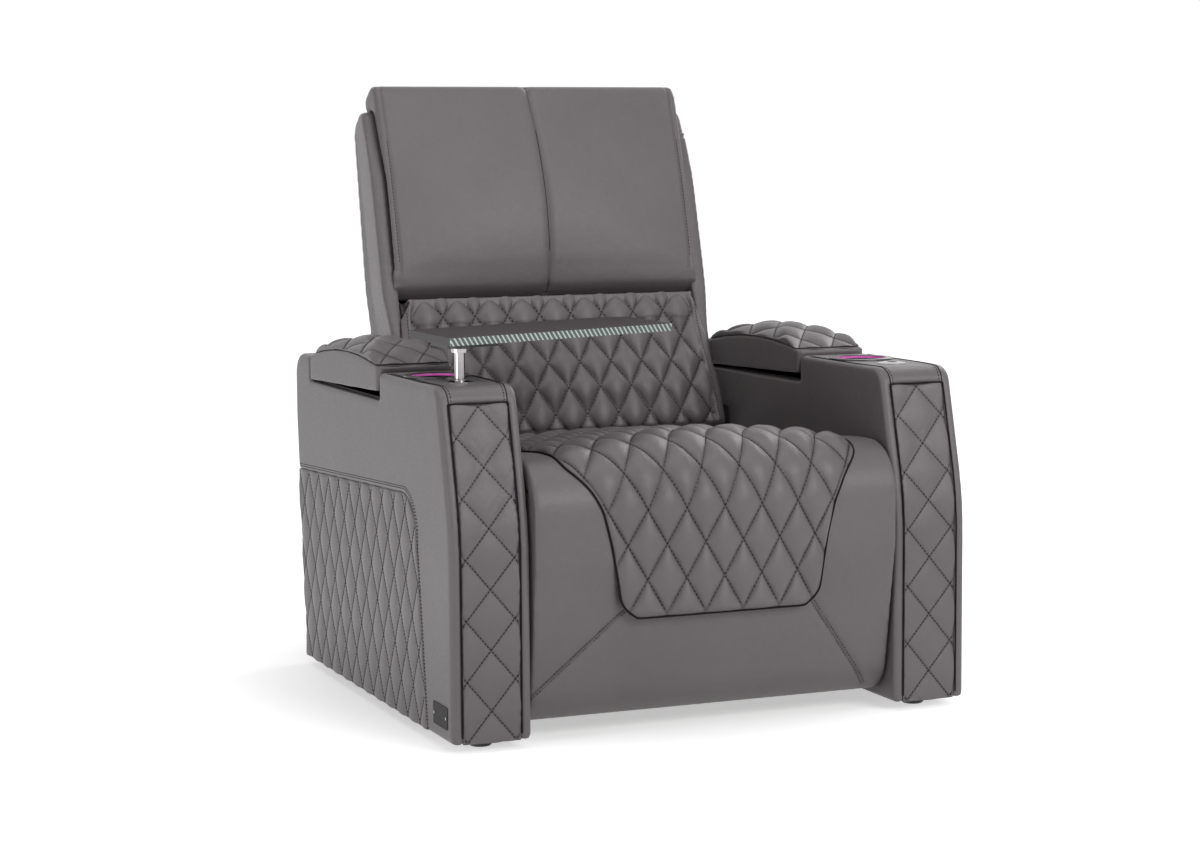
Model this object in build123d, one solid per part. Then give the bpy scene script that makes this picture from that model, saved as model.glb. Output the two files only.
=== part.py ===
from build123d import *
import os
from math import atan2, ceil, cos, degrees, floor, hypot, radians, sin, sqrt, tan

# Cinema recliner seat, millimetres. X runs across the seat, +Y runs from the arm fronts to the back,
# +Z is up and z = 0 is the floor. Everything is drawn with y = 0 at the foot of the arm fronts, and
# moved at the end so that the origin is the middle of the footprint.

# ---- overall sizes ----
WIDTH = 950.0
ARM_WIDTH = 138.0
ARM_LENGTH = 889.0
ARM_HEIGHT = 595.0
SKIRT_HEIGHT = 15.0
NOSE_PROUD = 33.0
BACK_REAR = 990.0
BACK_HEIGHT = 1098.0
SIDE_GAP = 4.0
SOFT_GAP = 0.4
RUN_FIT = 0.05
FACE_GAP = 1.0

INNER = WIDTH / 2 - ARM_WIDTH
ARM_MIDDLE = INNER + ARM_WIDTH / 2
SEAT_HALF = INNER - SIDE_GAP
CENTRE = (BACK_REAR - NOSE_PROUD) / 2

# ---- arms ----
ARM_LEAN = 14.3
KNEE_HEIGHT = 366.0
KNEE_RADIUS = 500.0
BROW_RADIUS = 34.0
REAR_RADIUS = 42.0
ARM_EDGE = 8.0
REAR_LEAN = 41.0
PANEL_RIM = 18.0
PANEL_TOP = 567.0
PANEL_DEEP = 10.0
PANEL_CROWN = 4.0
SIDE_PANEL_DEEP = 8.0
SIDE_PANEL_FRONT = 131.0
SIDE_PANEL_TOP = 405.0
SIDE_PANEL_DROP = 32.0
SIDE_PANEL_CORNER = 75.0
REAR_POST = 103.0
CHANNEL_WIDTH = 3.0
CHANNEL_DEEP = 3.0
PANEL_DIAMOND = (66.0, 100.0)
SIDE_DIAMOND = (64.0, 118.0)

# ---- storage bins and lids ----
SHELF_DROP = 48.0
LID_LENGTH = 418.0
LID_GAP_REAR = 3.5
LID_GAP_FRONT = 15.0
LID_SEAM_OVER = 8.0
LID_SEAM_RISE = 15.0
LID_CROWN_OVER = 50.0
LID_HINGE_OVER = 4.0
LID_HINGE_GAP = 4.0
KNUCKLE_RADIUS = 4.0
HINGE_PIN_RADIUS = 1.5
LEAF_THICK = 2.0
LEAF_LENGTH = 90.0
BIN_MARGIN = 29.0
BIN_WIDTH = 92.0
BIN_DEPTH = 200.0
BIN_WALL = 2.5
BIN_FLANGE = 8.0
BIN_CORNER = 10.0
LID_DIAMOND = (69.0, 104.0)

SHELF_HEIGHT = ARM_HEIGHT - SHELF_DROP
LID_REAR = ARM_LENGTH - REAR_POST
LID_FRONT = LID_REAR - LID_LENGTH
LID_UNDER_REAR = SHELF_HEIGHT + LID_GAP_REAR
LID_UNDER_FRONT = SHELF_HEIGHT + LID_GAP_FRONT
LID_SEAM = ARM_HEIGHT + LID_SEAM_OVER
LID_CROWN = ARM_HEIGHT + LID_CROWN_OVER
LID_HINGE_Z = ARM_HEIGHT + LID_HINGE_OVER
BIN_FRONT = LID_FRONT + BIN_MARGIN
BIN_REAR = LID_REAR - BIN_MARGIN

# ---- cup holders and accessory sockets ----
CUP_Y = 255.0
CUP_BORE = 84.0
CUP_WALL = 2.5
CUP_DEPTH = 86.0
CUP_FLANGE = 116.0
FLANGE_THICK = 3.0
LIGHT_DEEP = 4.0
LIGHT_HEIGHT = 7.0
LIGHT_DROP = 5.0
SOCKET_Y = 140.0
SOCKET_FLANGE = 50.0
SOCKET_DEPTH = 110.0
SOCKET_WALL = 3.0
POST_DIAMETER = 18.0
POST_FIT = 0.15

# ---- swivel tray ----
TRAY_OVER = 75.0
TRAY_THICK = 13.0
TRAY_LENGTH = 500.0
TRAY_DEPTH = 214.0
TRAY_TURN = 19.6
TRAY_CORNER_X = -434.0
TRAY_CORNER_Y = 102.0
TRAY_SHEAR = 80.0
TRAY_CHAMFER = 28.0
TRAY_TRIM = 4.0
BRACKET_THICK = 6.0
HUB_DIAMETER = 44.0
TRAY_TOP = ARM_HEIGHT + TRAY_OVER

# ---- seat and footrest cushions ----
SEAT_TOP = 472.0
NOSE_RADIUS = 87.0
NOSE_FRONT = -14.0
SEAT_REAR = 636.0
CUSHION_UNDER = 392.0
FOOTREST_FOOT = 32.0
FOOTREST_TUCK = 44.0
BOARD_THICK = 16.0
PAD_RISE = 32.0
PAD_FRONT_RISE = 19.0
PAD_HALF = 274.0
PAD_BROW_HALF = 228.0
PAD_BROW_DROP = 26.0
PAD_WAIST_HALF = 196.0
PAD_WAIST = 325.0
PAD_FOOT_HALF = 180.0
PAD_FOOT = 205.0
PAD_EDGE_RISE = 7.0
PAD_CREASE = 12.0
PAD_DIAMOND = (69.0, 117.0)

# ---- footrest linkage, a remote-centre double parallelogram ----
LINE_DIP = 25.0
FRONT_PIVOT = 240.0
REAR_PIVOT = 380.0
CRANK_BACK = 35.0
SHORT_PIN = 90.0
LONG_PIN = 170.0
PLATE_OUTER = 308.0
PLATE_THICK = 5.0
LINK_THICK = 6.0
LINK_HALF = 11.0
PIN_RADIUS = 5.0
PIN_HEAD = 8.0
SHAFT_RADIUS = 12.5
SHAFT_WALL = 2.0

# ---- seat frame, slides and drives ----
RAIL_THICK = 22.0
RAIL_FRONT = 104.0
RAIL_REAR = 676.0
RAIL_DEEP = 72.0
SPRING_WIRE = 4.0
SPRING_COUNT = 5
SLIDE_TRAVEL = 100.0
CHANNEL_Z = 120.0
CHANNEL_TALL = 42.0
CHANNEL_WALL = 3.0
CHANNEL_FRONT = 190.0
CHANNEL_REAR = 800.0
GLIDE_LENGTH = 70.0
TUBE_SIDE = 30.0
ROD_RADIUS = 8.0
DRIVE_TUBE = 270.0
DRIVE_Z = 140.0
BEAM_Z = 238.0
BEAM_DEEP = 26.0

# ---- back ----
BACK_PIVOT_Y = 745.0
BACK_PIVOT_Z = 300.0
BACK_LEAN = 16.2
RECLINE = 40.0
SHELL_FRONT_HALF = 316.0
SHELL_REAR_HALF = 328.0
SHELL_WING = 12.0
SHELL_BACK_WALL = 16.0
SHELL_WAIST_IN = 79.0
SHELL_FOOT_IN = 124.0
SHELL_FOOT_DEEP = 74.0
SHELL_FOOT_Z = 330.0
SHELL_TOP_DROP = 44.0
LUMBAR_TOP = 690.0
LUMBAR_FRONT_TOP = 766.0
LUMBAR_FOOT = 462.0
LUMBAR_FRONT_FOOT = 637.0
LUMBAR_THICK = 104.0
LUMBAR_TOP_THICK = 66.0
LUMBAR_TOP_HALF = 309.0
LUMBAR_FOOT_HALF = 322.0
LUMBAR_CROWN = 15.0
LUMBAR_DIAMOND = (65.0, 104.0)
HEAD_FOOT = 699.0
HEAD_FRONT_FOOT = 757.0
HEAD_HALF = 314.0
HEAD_ROLL = 26.0
HEAD_THICK = 72.0
HEAD_TOP_DROP = 22.0
HEAD_TOP_RADIUS = 28.0
HEAD_CROWN = 9.0
HEAD_TUBE_RADIUS = 10.0
HEAD_STUB_RADIUS = 6.0
FRAME_PLATE = 5.0

FOOT_RADIUS = 20.0
PLATE_WIDTH = 70.0
PLATE_HEIGHT = 38.0


# ---- shared helpers ----
def outline(corners):
    """A face through corners (u, v, radius), with each corner rounded by its own radius."""
    count = len(corners)
    points = [Vector(u, v) for u, v, _ in corners]
    starts = []
    edges = []
    for i, (_, _, radius) in enumerate(corners):
        here = points[i]
        back = (points[i - 1] - here).normalized()
        ahead = (points[(i + 1) % count] - here).normalized()
        if radius <= 0:
            starts.append((here, here))
            continue
        half = radians(back.get_angle(ahead)) / 2
        reach = radius / tan(half)
        middle = here + (back + ahead).normalized() * (radius / sin(half) - radius)
        first = here + back * reach
        last = here + ahead * reach
        edges.append(ThreePointArc(first, middle, last))
        starts.append((first, last))
    for i in range(count):
        run_start = starts[i][1]
        run_end = starts[(i + 1) % count][0]
        if (run_end - run_start).length > 0.001:
            edges.append(Line(run_start, run_end))
    return make_face(Wire.combine([e.edge() for e in edges])[0].edges())


def across(face, x_low, x_high):
    """A side-view face in (y, z), extruded between two x."""
    return extrude(Plane.YZ.offset(x_low) * face, x_high - x_low)


def upward(face, z_low, z_high):
    """A plan face in (x, y), extruded between two heights."""
    return extrude(Plane.XY.offset(z_low) * face, z_high - z_low)


def backward(face, y_low, y_high):
    """A front-view face in (x, z), extruded between two y."""
    return extrude(Plane.XZ.offset(-y_high) * face, y_high - y_low)


def block(x_low, x_high, y_low, y_high, z_low, z_high):
    size = (x_high - x_low, y_high - y_low, z_high - z_low)
    return Pos(x_low, y_low, z_low) * Box(*size, align=(Align.MIN, Align.MIN, Align.MIN))


def rod_x(radius, y, z, x_low, x_high):
    """A round bar along X."""
    return Pos((x_low + x_high) / 2, y, z) * Rot(0, 90, 0) * Cylinder(radius, x_high - x_low)


def rod_z(radius, x, y, z_low, z_high):
    """A round bar along Z."""
    return Pos(x, y, (z_low + z_high) / 2) * Cylinder(radius, z_high - z_low)


def other_side(solid):
    """The same piece mirrored to the other side of the seat."""
    return mirror(solid, about=Plane.YZ)


def diamond_strips(size, u_range, v_range, u_start, v_start):
    """Channel lines over a (u, v) area as long thin faces, in two leaning families that make diamonds."""
    wide, tall = size
    slope = degrees(atan2(tall, wide))
    length = 2 * hypot(u_range[1] - u_range[0], v_range[1] - v_range[0])
    spread = (v_range[1] - v_range[0]) * wide / tall
    first = floor((u_range[0] - spread - u_start) / wide)
    last = ceil((u_range[1] + spread - u_start) / wide)
    places = [Pos(u_start + i * wide, v_start) for i in range(first, last + 1)]
    line = Rectangle(2 * length, CHANNEL_WIDTH)
    return [[place * Rot(0, 0, lean) * line for place in places] for lean in (slope, -slope)]


def channelled(body, skin, families, place):
    """The body with channels sunk into its skin, one along each strip."""
    for strips in families:
        cuts = [skin & place(strip) for strip in strips]
        cuts = [cut for cut in cuts if cut is not None and cut.volume > 1.0]
        body = body - cuts
    return body


# ---- arms ----
def arm_rear(height):
    """How far back the arm's rear edge is at a height: it leans out up to half height."""
    return ARM_LENGTH - REAR_LEAN * max(0.0, 1 - (height - SKIRT_HEIGHT) / (0.75 * ARM_HEIGHT))


def arm_front(height):
    """How far back the arm's front face is at a height, above its knee."""
    return max(0.0, (height - KNEE_HEIGHT) * tan(radians(ARM_LEAN)))


def arm_profile(inset, low, high_trim=0.0):
    """The arm's side view, drawn in by an inset at the front, from a low edge."""
    top = ARM_HEIGHT - high_trim
    slant = inset / cos(radians(ARM_LEAN))
    knee = KNEE_HEIGHT + inset * tan(radians(ARM_LEAN / 2))
    return outline(
        [
            (inset, low, 0),
            (arm_rear(low), low, 0),
            (arm_rear(0.8 * ARM_HEIGHT), 0.8 * ARM_HEIGHT, 0),
            (ARM_LENGTH, top, REAR_RADIUS),
            (arm_front(top) + slant, top, BROW_RADIUS),
            (inset, knee, KNEE_RADIUS),
        ]
    )


def front_panel_band(inset, deep, gap):
    """The band just behind the arm's front face that the quilted panel fills."""
    half = ARM_WIDTH / 2 - PANEL_RIM - gap
    x_low, x_high = ARM_MIDDLE - half, ARM_MIDDLE + half
    skin = across(arm_profile(inset, SKIRT_HEIGHT), x_low, x_high)
    skin = skin - across(arm_profile(inset + deep, SKIRT_HEIGHT), x_low, x_high)
    keep = block(x_low, x_high, inset - 1, ARM_LENGTH / 4, SKIRT_HEIGHT, PANEL_TOP - gap)
    return skin & keep


def side_panel_face(gap):
    """The quilted area low on the arm's outer side."""
    lean = SIDE_PANEL_TOP * 0.13
    return outline(
        [
            (SIDE_PANEL_FRONT + gap, SKIRT_HEIGHT + gap, 0),
            (arm_rear(SKIRT_HEIGHT) - gap, SKIRT_HEIGHT + gap, 0),
            (arm_rear(SIDE_PANEL_TOP) - gap, SIDE_PANEL_TOP - SIDE_PANEL_DROP - gap, 0),
            (SIDE_PANEL_FRONT + lean + gap, SIDE_PANEL_TOP - gap, SIDE_PANEL_CORNER - gap),
        ]
    )


def arm(pocket):
    """One upholstered arm, with its lid bay, bin well, cup hole, socket hole and panel recesses."""
    body = across(arm_profile(0, SKIRT_HEIGHT), INNER, WIDTH / 2)
    body = fillet(body.faces().filter_by(Axis.X).edges(), ARM_EDGE)
    bay = block(INNER - 1, WIDTH / 2 + 1, LID_FRONT - 4, LID_REAR + LID_HINGE_GAP, SHELF_HEIGHT, ARM_HEIGHT + 1)
    body = body - bay
    body = body - upward(bin_face(-SOFT_GAP), SHELF_HEIGHT - BIN_DEPTH - SOFT_GAP, SHELF_HEIGHT + 1)
    cup_hole = CUP_BORE / 2 + CUP_WALL + SOFT_GAP
    body = body - rod_z(cup_hole, ARM_MIDDLE, CUP_Y, ARM_HEIGHT - CUP_DEPTH - CUP_WALL - SOFT_GAP, ARM_HEIGHT + 1)
    socket_hole = POST_DIAMETER / 2 + POST_FIT + SOCKET_WALL + SOFT_GAP
    body = body - rod_z(
        socket_hole, ARM_MIDDLE, SOCKET_Y, ARM_HEIGHT - SOCKET_DEPTH - SOCKET_WALL - SOFT_GAP, ARM_HEIGHT + 1
    )
    body = body - front_panel_band(0, PANEL_DEEP, 0)
    body = body - across(side_panel_face(0), WIDTH / 2 - SIDE_PANEL_DEEP, WIDTH / 2 + 1)
    return body - control_pocket() if pocket else body


def front_panel():
    """The inset quilted panel on the arm's front, crowned a little proud of its rims."""
    body = front_panel_band(0, PANEL_DEEP - SOFT_GAP, SOFT_GAP)
    half = ARM_WIDTH / 2 - PANEL_RIM - SOFT_GAP
    skin = body - across(arm_profile(CHANNEL_DEEP, SKIRT_HEIGHT - 1), INNER, WIDTH / 2)
    strips = diamond_strips(
        PANEL_DIAMOND, (-half, half), (SKIRT_HEIGHT, PANEL_TOP), ARM_MIDDLE + PANEL_DIAMOND[0] / 2, PANEL_TOP - 30
    )
    body = channelled(body, skin, strips, lambda face: backward(face, -1, ARM_LENGTH / 4))
    return body


def side_panel():
    """The quilted panel low on the arm's outer side."""
    inner_x = WIDTH / 2 - SIDE_PANEL_DEEP + SOFT_GAP
    body = across(side_panel_face(SOFT_GAP), inner_x, WIDTH / 2)
    skin = body & block(WIDTH / 2 - CHANNEL_DEEP, WIDTH / 2, 0, ARM_LENGTH, 0, ARM_HEIGHT)
    strips = diamond_strips(
        SIDE_DIAMOND, (SIDE_PANEL_FRONT, ARM_LENGTH), (SKIRT_HEIGHT, SIDE_PANEL_TOP), SIDE_PANEL_FRONT, SKIRT_HEIGHT
    )
    body = channelled(body, skin, strips, lambda face: across(face, inner_x, WIDTH / 2))
    return body


def bin_face(inset):
    """The bin's plan, drawn in by an inset."""
    place = Pos(ARM_MIDDLE, (BIN_FRONT + BIN_REAR) / 2)
    return place * RectangleRounded(BIN_WIDTH - 2 * inset, BIN_REAR - BIN_FRONT - 2 * inset, BIN_CORNER - inset)


def bin_liner():
    """The moulded tray in the arm's well, hung by its flange on the shelf under the lid."""
    low = SHELF_HEIGHT - BIN_DEPTH
    outer = upward(bin_face(0), low, SHELF_HEIGHT)
    flange = upward(bin_face(-BIN_FLANGE), SHELF_HEIGHT, SHELF_HEIGHT + 2)
    inside = upward(bin_face(BIN_WALL), low + BIN_WALL, SHELF_HEIGHT + 3)
    return outer + flange - inside


def lid_side_face():
    """The lid's plain lower shell in side view: a slanted finger gap below, the arched seam on top."""
    seam_front = (LID_FRONT, LID_SEAM)
    seam_rear = (LID_REAR, LID_SEAM - LID_SEAM_RISE / 2)
    seam_middle = ((LID_FRONT + LID_REAR) / 2, LID_SEAM + LID_SEAM_RISE)
    edges = [
        ThreePointArc(seam_front, seam_middle, seam_rear),
        Line(seam_rear, (LID_REAR, LID_UNDER_REAR)),
        Line((LID_REAR, LID_UNDER_REAR), (LID_FRONT + 8, LID_UNDER_FRONT)),
        Line((LID_FRONT + 8, LID_UNDER_FRONT), seam_front),
    ]
    return make_face(Wire.combine([e.edge() for e in edges])[0].edges())


def lid_box():
    """The lid's plan outline, rounded at its front corners."""
    middle = (LID_FRONT + LID_REAR) / 2
    front = Pos(ARM_MIDDLE, middle) * RectangleRounded(ARM_WIDTH, LID_REAR - LID_FRONT, 14)
    rear = Pos(ARM_MIDDLE, middle + 20) * Rectangle(ARM_WIDTH, LID_REAR - LID_FRONT - 40)
    return front + rear


def lid():
    """The lid's shell, with the moving hinge leaf let into its rear end."""
    body = across(lid_side_face(), INNER, WIDTH / 2) & upward(lid_box(), SHELF_HEIGHT, LID_CROWN)
    hollow = upward(bin_face(0), SHELF_HEIGHT, LID_UNDER_FRONT + 12)
    hinge_y = LID_REAR + LID_HINGE_GAP / 2
    notch = rod_x(KNUCKLE_RADIUS + FACE_GAP, hinge_y, LID_HINGE_Z, INNER - 1, WIDTH / 2 + 1)
    half = LEAF_LENGTH / 2
    leaf = block(ARM_MIDDLE - half, ARM_MIDDLE + half, LID_REAR, LID_REAR + LEAF_THICK - SOFT_GAP,
                 LID_HINGE_Z - 30, LID_HINGE_Z)
    pin_hole = rod_x(HINGE_PIN_RADIUS + RUN_FIT, hinge_y, LID_HINGE_Z, INNER, WIDTH / 2)
    barrel = leaf - rod_x(KNUCKLE_RADIUS + SOFT_GAP, hinge_y, LID_HINGE_Z, INNER, WIDTH / 2)
    for x in (ARM_MIDDLE - 29.5, ARM_MIDDLE + 10.0):
        knuckle = rod_x(KNUCKLE_RADIUS, hinge_y, LID_HINGE_Z, x, x + 19.5)
        web = block(x, x + 19.5, LID_REAR, hinge_y, LID_HINGE_Z - 8, LID_HINGE_Z)
        barrel = barrel + knuckle + web
    body = body - hollow - notch
    return body, barrel - pin_hole


def lid_pad():
    """The lid's quilted top, domed both ways above the seam."""
    seam = lid_side_face()
    crown_front = (LID_FRONT + 2, LID_SEAM)
    crown_rear = (LID_REAR - 7, LID_SEAM - LID_SEAM_RISE / 2 - 1)
    crown_middle = (LID_FRONT + 0.4 * (LID_REAR - LID_FRONT), LID_CROWN)
    edges = [ThreePointArc(crown_front, crown_middle, crown_rear), Line(crown_rear, crown_front)]
    side_view = make_face(Wire.combine([e.edge() for e in edges])[0].edges())
    dome = across(side_view, INNER, WIDTH / 2) - across(seam, INNER - 1, WIDTH / 2 + 1)
    half = ARM_WIDTH / 2
    low = LID_SEAM - LID_SEAM_RISE
    shoulder = LID_SEAM + LID_SEAM_RISE + 4
    edges = [
        Line((ARM_MIDDLE - half, low), (ARM_MIDDLE - half, shoulder)),
        ThreePointArc(
            (ARM_MIDDLE - half, shoulder), (ARM_MIDDLE, LID_CROWN + 0.5), (ARM_MIDDLE + half, shoulder)
        ),
        Line((ARM_MIDDLE + half, shoulder), (ARM_MIDDLE + half, low)),
        Line((ARM_MIDDLE + half, low), (ARM_MIDDLE - half, low)),
    ]
    end_view = make_face(Wire.combine([e.edge() for e in edges])[0].edges())
    body = dome & backward(end_view, LID_FRONT - 1, LID_REAR + 1) & upward(lid_box(), low, LID_CROWN + 1)
    skin = body - Pos(0, 0, -CHANNEL_DEEP) * body
    area = (INNER, WIDTH / 2), (LID_FRONT, LID_REAR)
    strips = diamond_strips(LID_DIAMOND, *area, ARM_MIDDLE, LID_REAR)
    return channelled(body, skin, strips, lambda face: upward(face, low, LID_CROWN + 1))


def lid_hinge():
    """The fixed leaf on the rear post, its middle knuckle and the hinge pin."""
    hinge_y = LID_REAR + LID_HINGE_GAP / 2
    post_y = LID_REAR + LID_HINGE_GAP
    half = LEAF_LENGTH / 2
    leaf = block(ARM_MIDDLE - half, ARM_MIDDLE + half, hinge_y, post_y + 24, ARM_HEIGHT, ARM_HEIGHT + LEAF_THICK)
    leaf = leaf - rod_x(KNUCKLE_RADIUS + SOFT_GAP, hinge_y, LID_HINGE_Z, INNER, WIDTH / 2)
    knuckle = rod_x(KNUCKLE_RADIUS, hinge_y, LID_HINGE_Z, ARM_MIDDLE - 9.5, ARM_MIDDLE + 9.5)
    web = block(ARM_MIDDLE - 9.5, ARM_MIDDLE + 9.5, hinge_y, hinge_y + 6, ARM_HEIGHT, LID_HINGE_Z)
    pin = rod_x(HINGE_PIN_RADIUS, hinge_y, LID_HINGE_Z, ARM_MIDDLE - 30, ARM_MIDDLE + 30)
    return leaf + knuckle + web + pin


def cup():
    """A turned cup holder: flange, straight wall with a groove for the light ring, closed floor."""
    inner = CUP_BORE / 2
    outer = inner + CUP_WALL
    top = ARM_HEIGHT + FLANGE_THICK
    floor = ARM_HEIGHT - CUP_DEPTH
    groove = top - LIGHT_DROP
    flange = CUP_FLANGE / 2
    wall = outline(
        [
            (0, floor - CUP_WALL, 0),
            (outer, floor - CUP_WALL, 4),
            (outer, ARM_HEIGHT, 0),
            (flange, ARM_HEIGHT, 0),
            (flange, top, 2),
            (inner + LIGHT_DEEP / 2, top, 1),
            (inner + LIGHT_DEEP / 2, groove, 0),
            (inner, groove, 0),
            (inner, floor, 3),
            (0, floor, 0),
        ]
    )
    body = revolve(Plane.XZ * wall, Axis.Z)
    return Pos(ARM_MIDDLE, CUP_Y, 0) * body


def light_ring():
    """The lit ring that lines the mouth of the cup, on the step in its wall."""
    outer = CUP_BORE / 2 + LIGHT_DEEP / 2 - RUN_FIT
    inner = CUP_BORE / 2
    base = ARM_HEIGHT + FLANGE_THICK - LIGHT_DROP
    height = LIGHT_DROP - 1.5
    ring = Cylinder(outer, height) - Cylinder(inner, height)
    return Pos(ARM_MIDDLE, CUP_Y, base + height / 2) * ring


def socket():
    """The round accessory socket that a tray post drops into: a flanged, closed tube."""
    bore = POST_DIAMETER / 2 + POST_FIT
    outer = bore + SOCKET_WALL
    floor = ARM_HEIGHT - SOCKET_DEPTH
    flange = SOCKET_FLANGE / 2
    top = ARM_HEIGHT + FLANGE_THICK
    wall = outline(
        [
            (0, floor - SOCKET_WALL, 0),
            (outer, floor - SOCKET_WALL, 0),
            (outer, ARM_HEIGHT, 0),
            (flange, ARM_HEIGHT, 0),
            (flange, ARM_HEIGHT + 1, 0),
            (outer + 3, top, 0),
            (bore, top, 0),
            (bore, floor, 0),
            (0, floor, 0),
        ]
    )
    body = revolve(Plane.XZ * wall, Axis.Z)
    return Pos(ARM_MIDDLE, SOCKET_Y, 0) * body


def nameplate():
    """The bare plate low on the arm's outer side, near the front, with its two pins."""
    y_low, z_low = 23.0, 37.0
    face = Pos(y_low + PLATE_WIDTH / 2, z_low + PLATE_HEIGHT / 2) * RectangleRounded(PLATE_WIDTH, PLATE_HEIGHT, 4)
    plate = across(face, WIDTH / 2, WIDTH / 2 + 1.2)
    pins = []
    for y in (y_low + 6, y_low + PLATE_WIDTH - 6):
        hole = rod_x(1.5, y, z_low + PLATE_HEIGHT / 2, WIDTH / 2 - 4, WIDTH / 2 + 2)
        head = rod_x(2.6, y, z_low + PLATE_HEIGHT / 2, WIDTH / 2 + 1.2, WIDTH / 2 + 2)
        plate = plate - hole
        pins.append(rod_x(1.5, y, z_low + PLATE_HEIGHT / 2, WIDTH / 2, WIDTH / 2 + 1.2) + head)
    return other_side(plate), [other_side(pin) for pin in pins]


# ---- control panel ----
CONTROL_Y = 190.0
CONTROL_Z = 520.0
CONTROL_LENGTH = 128.0
CONTROL_HEIGHT = 34.0
CONTROL_DEEP = 14.0
BUTTON_RADIUS = 9.0
BUTTON_TRAVEL = 2.0
BUTTON_PITCH = 27.0
BUTTON_COUNT = 4


def button_places():
    first = CONTROL_Y - BUTTON_PITCH * (BUTTON_COUNT - 1) / 2
    return [first + BUTTON_PITCH * i for i in range(BUTTON_COUNT)]


def control_pocket():
    length = CONTROL_LENGTH - 8
    height = CONTROL_HEIGHT - 8
    return block(
        INNER - 1, INNER + CONTROL_DEEP, CONTROL_Y - length / 2, CONTROL_Y + length / 2,
        CONTROL_Z - height / 2, CONTROL_Z + height / 2,
    )


def control_panel():
    """The switch bezel on the inner face of one arm, with a well for each button."""
    face = Pos(CONTROL_Y, CONTROL_Z) * RectangleRounded(CONTROL_LENGTH, CONTROL_HEIGHT, 8)
    length = CONTROL_LENGTH - 8 - 2 * SOFT_GAP
    height = CONTROL_HEIGHT - 8 - 2 * SOFT_GAP
    body = across(face, INNER - 2, INNER)
    body = body + across(Pos(CONTROL_Y, CONTROL_Z) * Rectangle(length, height), INNER, INNER + CONTROL_DEEP - 1)
    for y in button_places():
        body = body - rod_x(BUTTON_RADIUS + 0.3, y, CONTROL_Z, INNER - 3, INNER + 8)
    return other_side(body)


def button(y):
    """A round push button that stands a little proud of the bezel, over its travel in the well."""
    cap = rod_x(BUTTON_RADIUS, y, CONTROL_Z, INNER - 3.5, INNER + 8 - BUTTON_TRAVEL - 0.5)
    dish = Pos(INNER - 3.5 - 29.4, y, CONTROL_Z) * Sphere(30)
    return other_side(cap - dish)


# ---- tray ----
def tray_point(along, deep):
    """A point of the tray's plan, from its front left corner along its front edge and back from it."""
    turn = radians(TRAY_TURN)
    x = TRAY_CORNER_X + along * cos(turn) - deep * sin(turn)
    y = TRAY_CORNER_Y + along * sin(turn) + deep * cos(turn)
    return x, y


def tray_face(front):
    """The tray's plan from a line a little behind its front edge: a slanted board with clipped rear corners."""
    lean = TRAY_SHEAR * front / TRAY_DEPTH
    corners = [
        (lean, front, 2 if front == 0 else 0),
        (TRAY_LENGTH + lean, front, 2 if front == 0 else 0),
        (TRAY_LENGTH + TRAY_SHEAR * 0.85, TRAY_DEPTH - TRAY_CHAMFER, 6),
        (TRAY_LENGTH + TRAY_SHEAR * 0.85 - TRAY_CHAMFER, TRAY_DEPTH, 6),
        (TRAY_SHEAR, TRAY_DEPTH, 6),
    ]
    return outline([(*tray_point(u, v), r) for u, v, r in corners])


def tray_board():
    low = TRAY_TOP - TRAY_THICK
    return upward(tray_face(TRAY_TRIM), low, TRAY_TOP)


def tray_trim():
    """The glossy strip along the tray's front edge."""
    low = TRAY_TOP - TRAY_THICK
    return upward(tray_face(0) - tray_face(TRAY_TRIM), low, TRAY_TOP)


def tray_bracket():
    """The swivel bracket under the tray: a plate along its short edge and a hub bored for the post."""
    low = TRAY_TOP - TRAY_THICK - BRACKET_THICK
    corners = [(14, 18, 8), (118, 18, 8), (150, 120, 8), (52, 120, 8)]
    plate = upward(outline([(*tray_point(u, v), r) for u, v, r in corners]), low, low + BRACKET_THICK)
    hub = rod_z(HUB_DIAMETER / 2, -ARM_MIDDLE, SOCKET_Y, low, low + BRACKET_THICK)
    bore = rod_z(POST_DIAMETER / 2 + RUN_FIT, -ARM_MIDDLE, SOCKET_Y, low - 1, low + BRACKET_THICK + 1)
    return plate + hub - bore


def tray_post():
    """The chromed post: it stands in the arm's socket, with a collar that carries the swivel bracket."""
    low = ARM_HEIGHT - SOCKET_DEPTH + 0.2
    seat = TRAY_TOP - TRAY_THICK - BRACKET_THICK
    post = rod_z(POST_DIAMETER / 2, -ARM_MIDDLE, SOCKET_Y, low, seat + BRACKET_THICK - 0.3)
    collar = rod_z(POST_DIAMETER / 2 + 5, -ARM_MIDDLE, SOCKET_Y, seat - 7, seat - 0.3)
    return chamfer(post.edges().group_by(Axis.Z)[0], 2) + collar


# ---- seat and footrest cushions ----
NOSE_Y = NOSE_FRONT + NOSE_RADIUS
NOSE_Z = SEAT_TOP - NOSE_RADIUS
BEND = NOSE_RADIUS * 0.785
BEND_Y = NOSE_Y - BEND
BEND_Z = NOSE_Z + BEND
NOSE_MID = (NOSE_Y - NOSE_RADIUS * sqrt(0.5), NOSE_Z + NOSE_RADIUS * sqrt(0.5))


def joined(edges):
    return make_face(Wire.combine([e.edge() for e in edges])[0].edges())


def mitre_depth(level):
    """How far back the 45 degree mitre between seat and footrest is at a height."""
    return BEND_Y + (BEND_Z - level)


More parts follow.
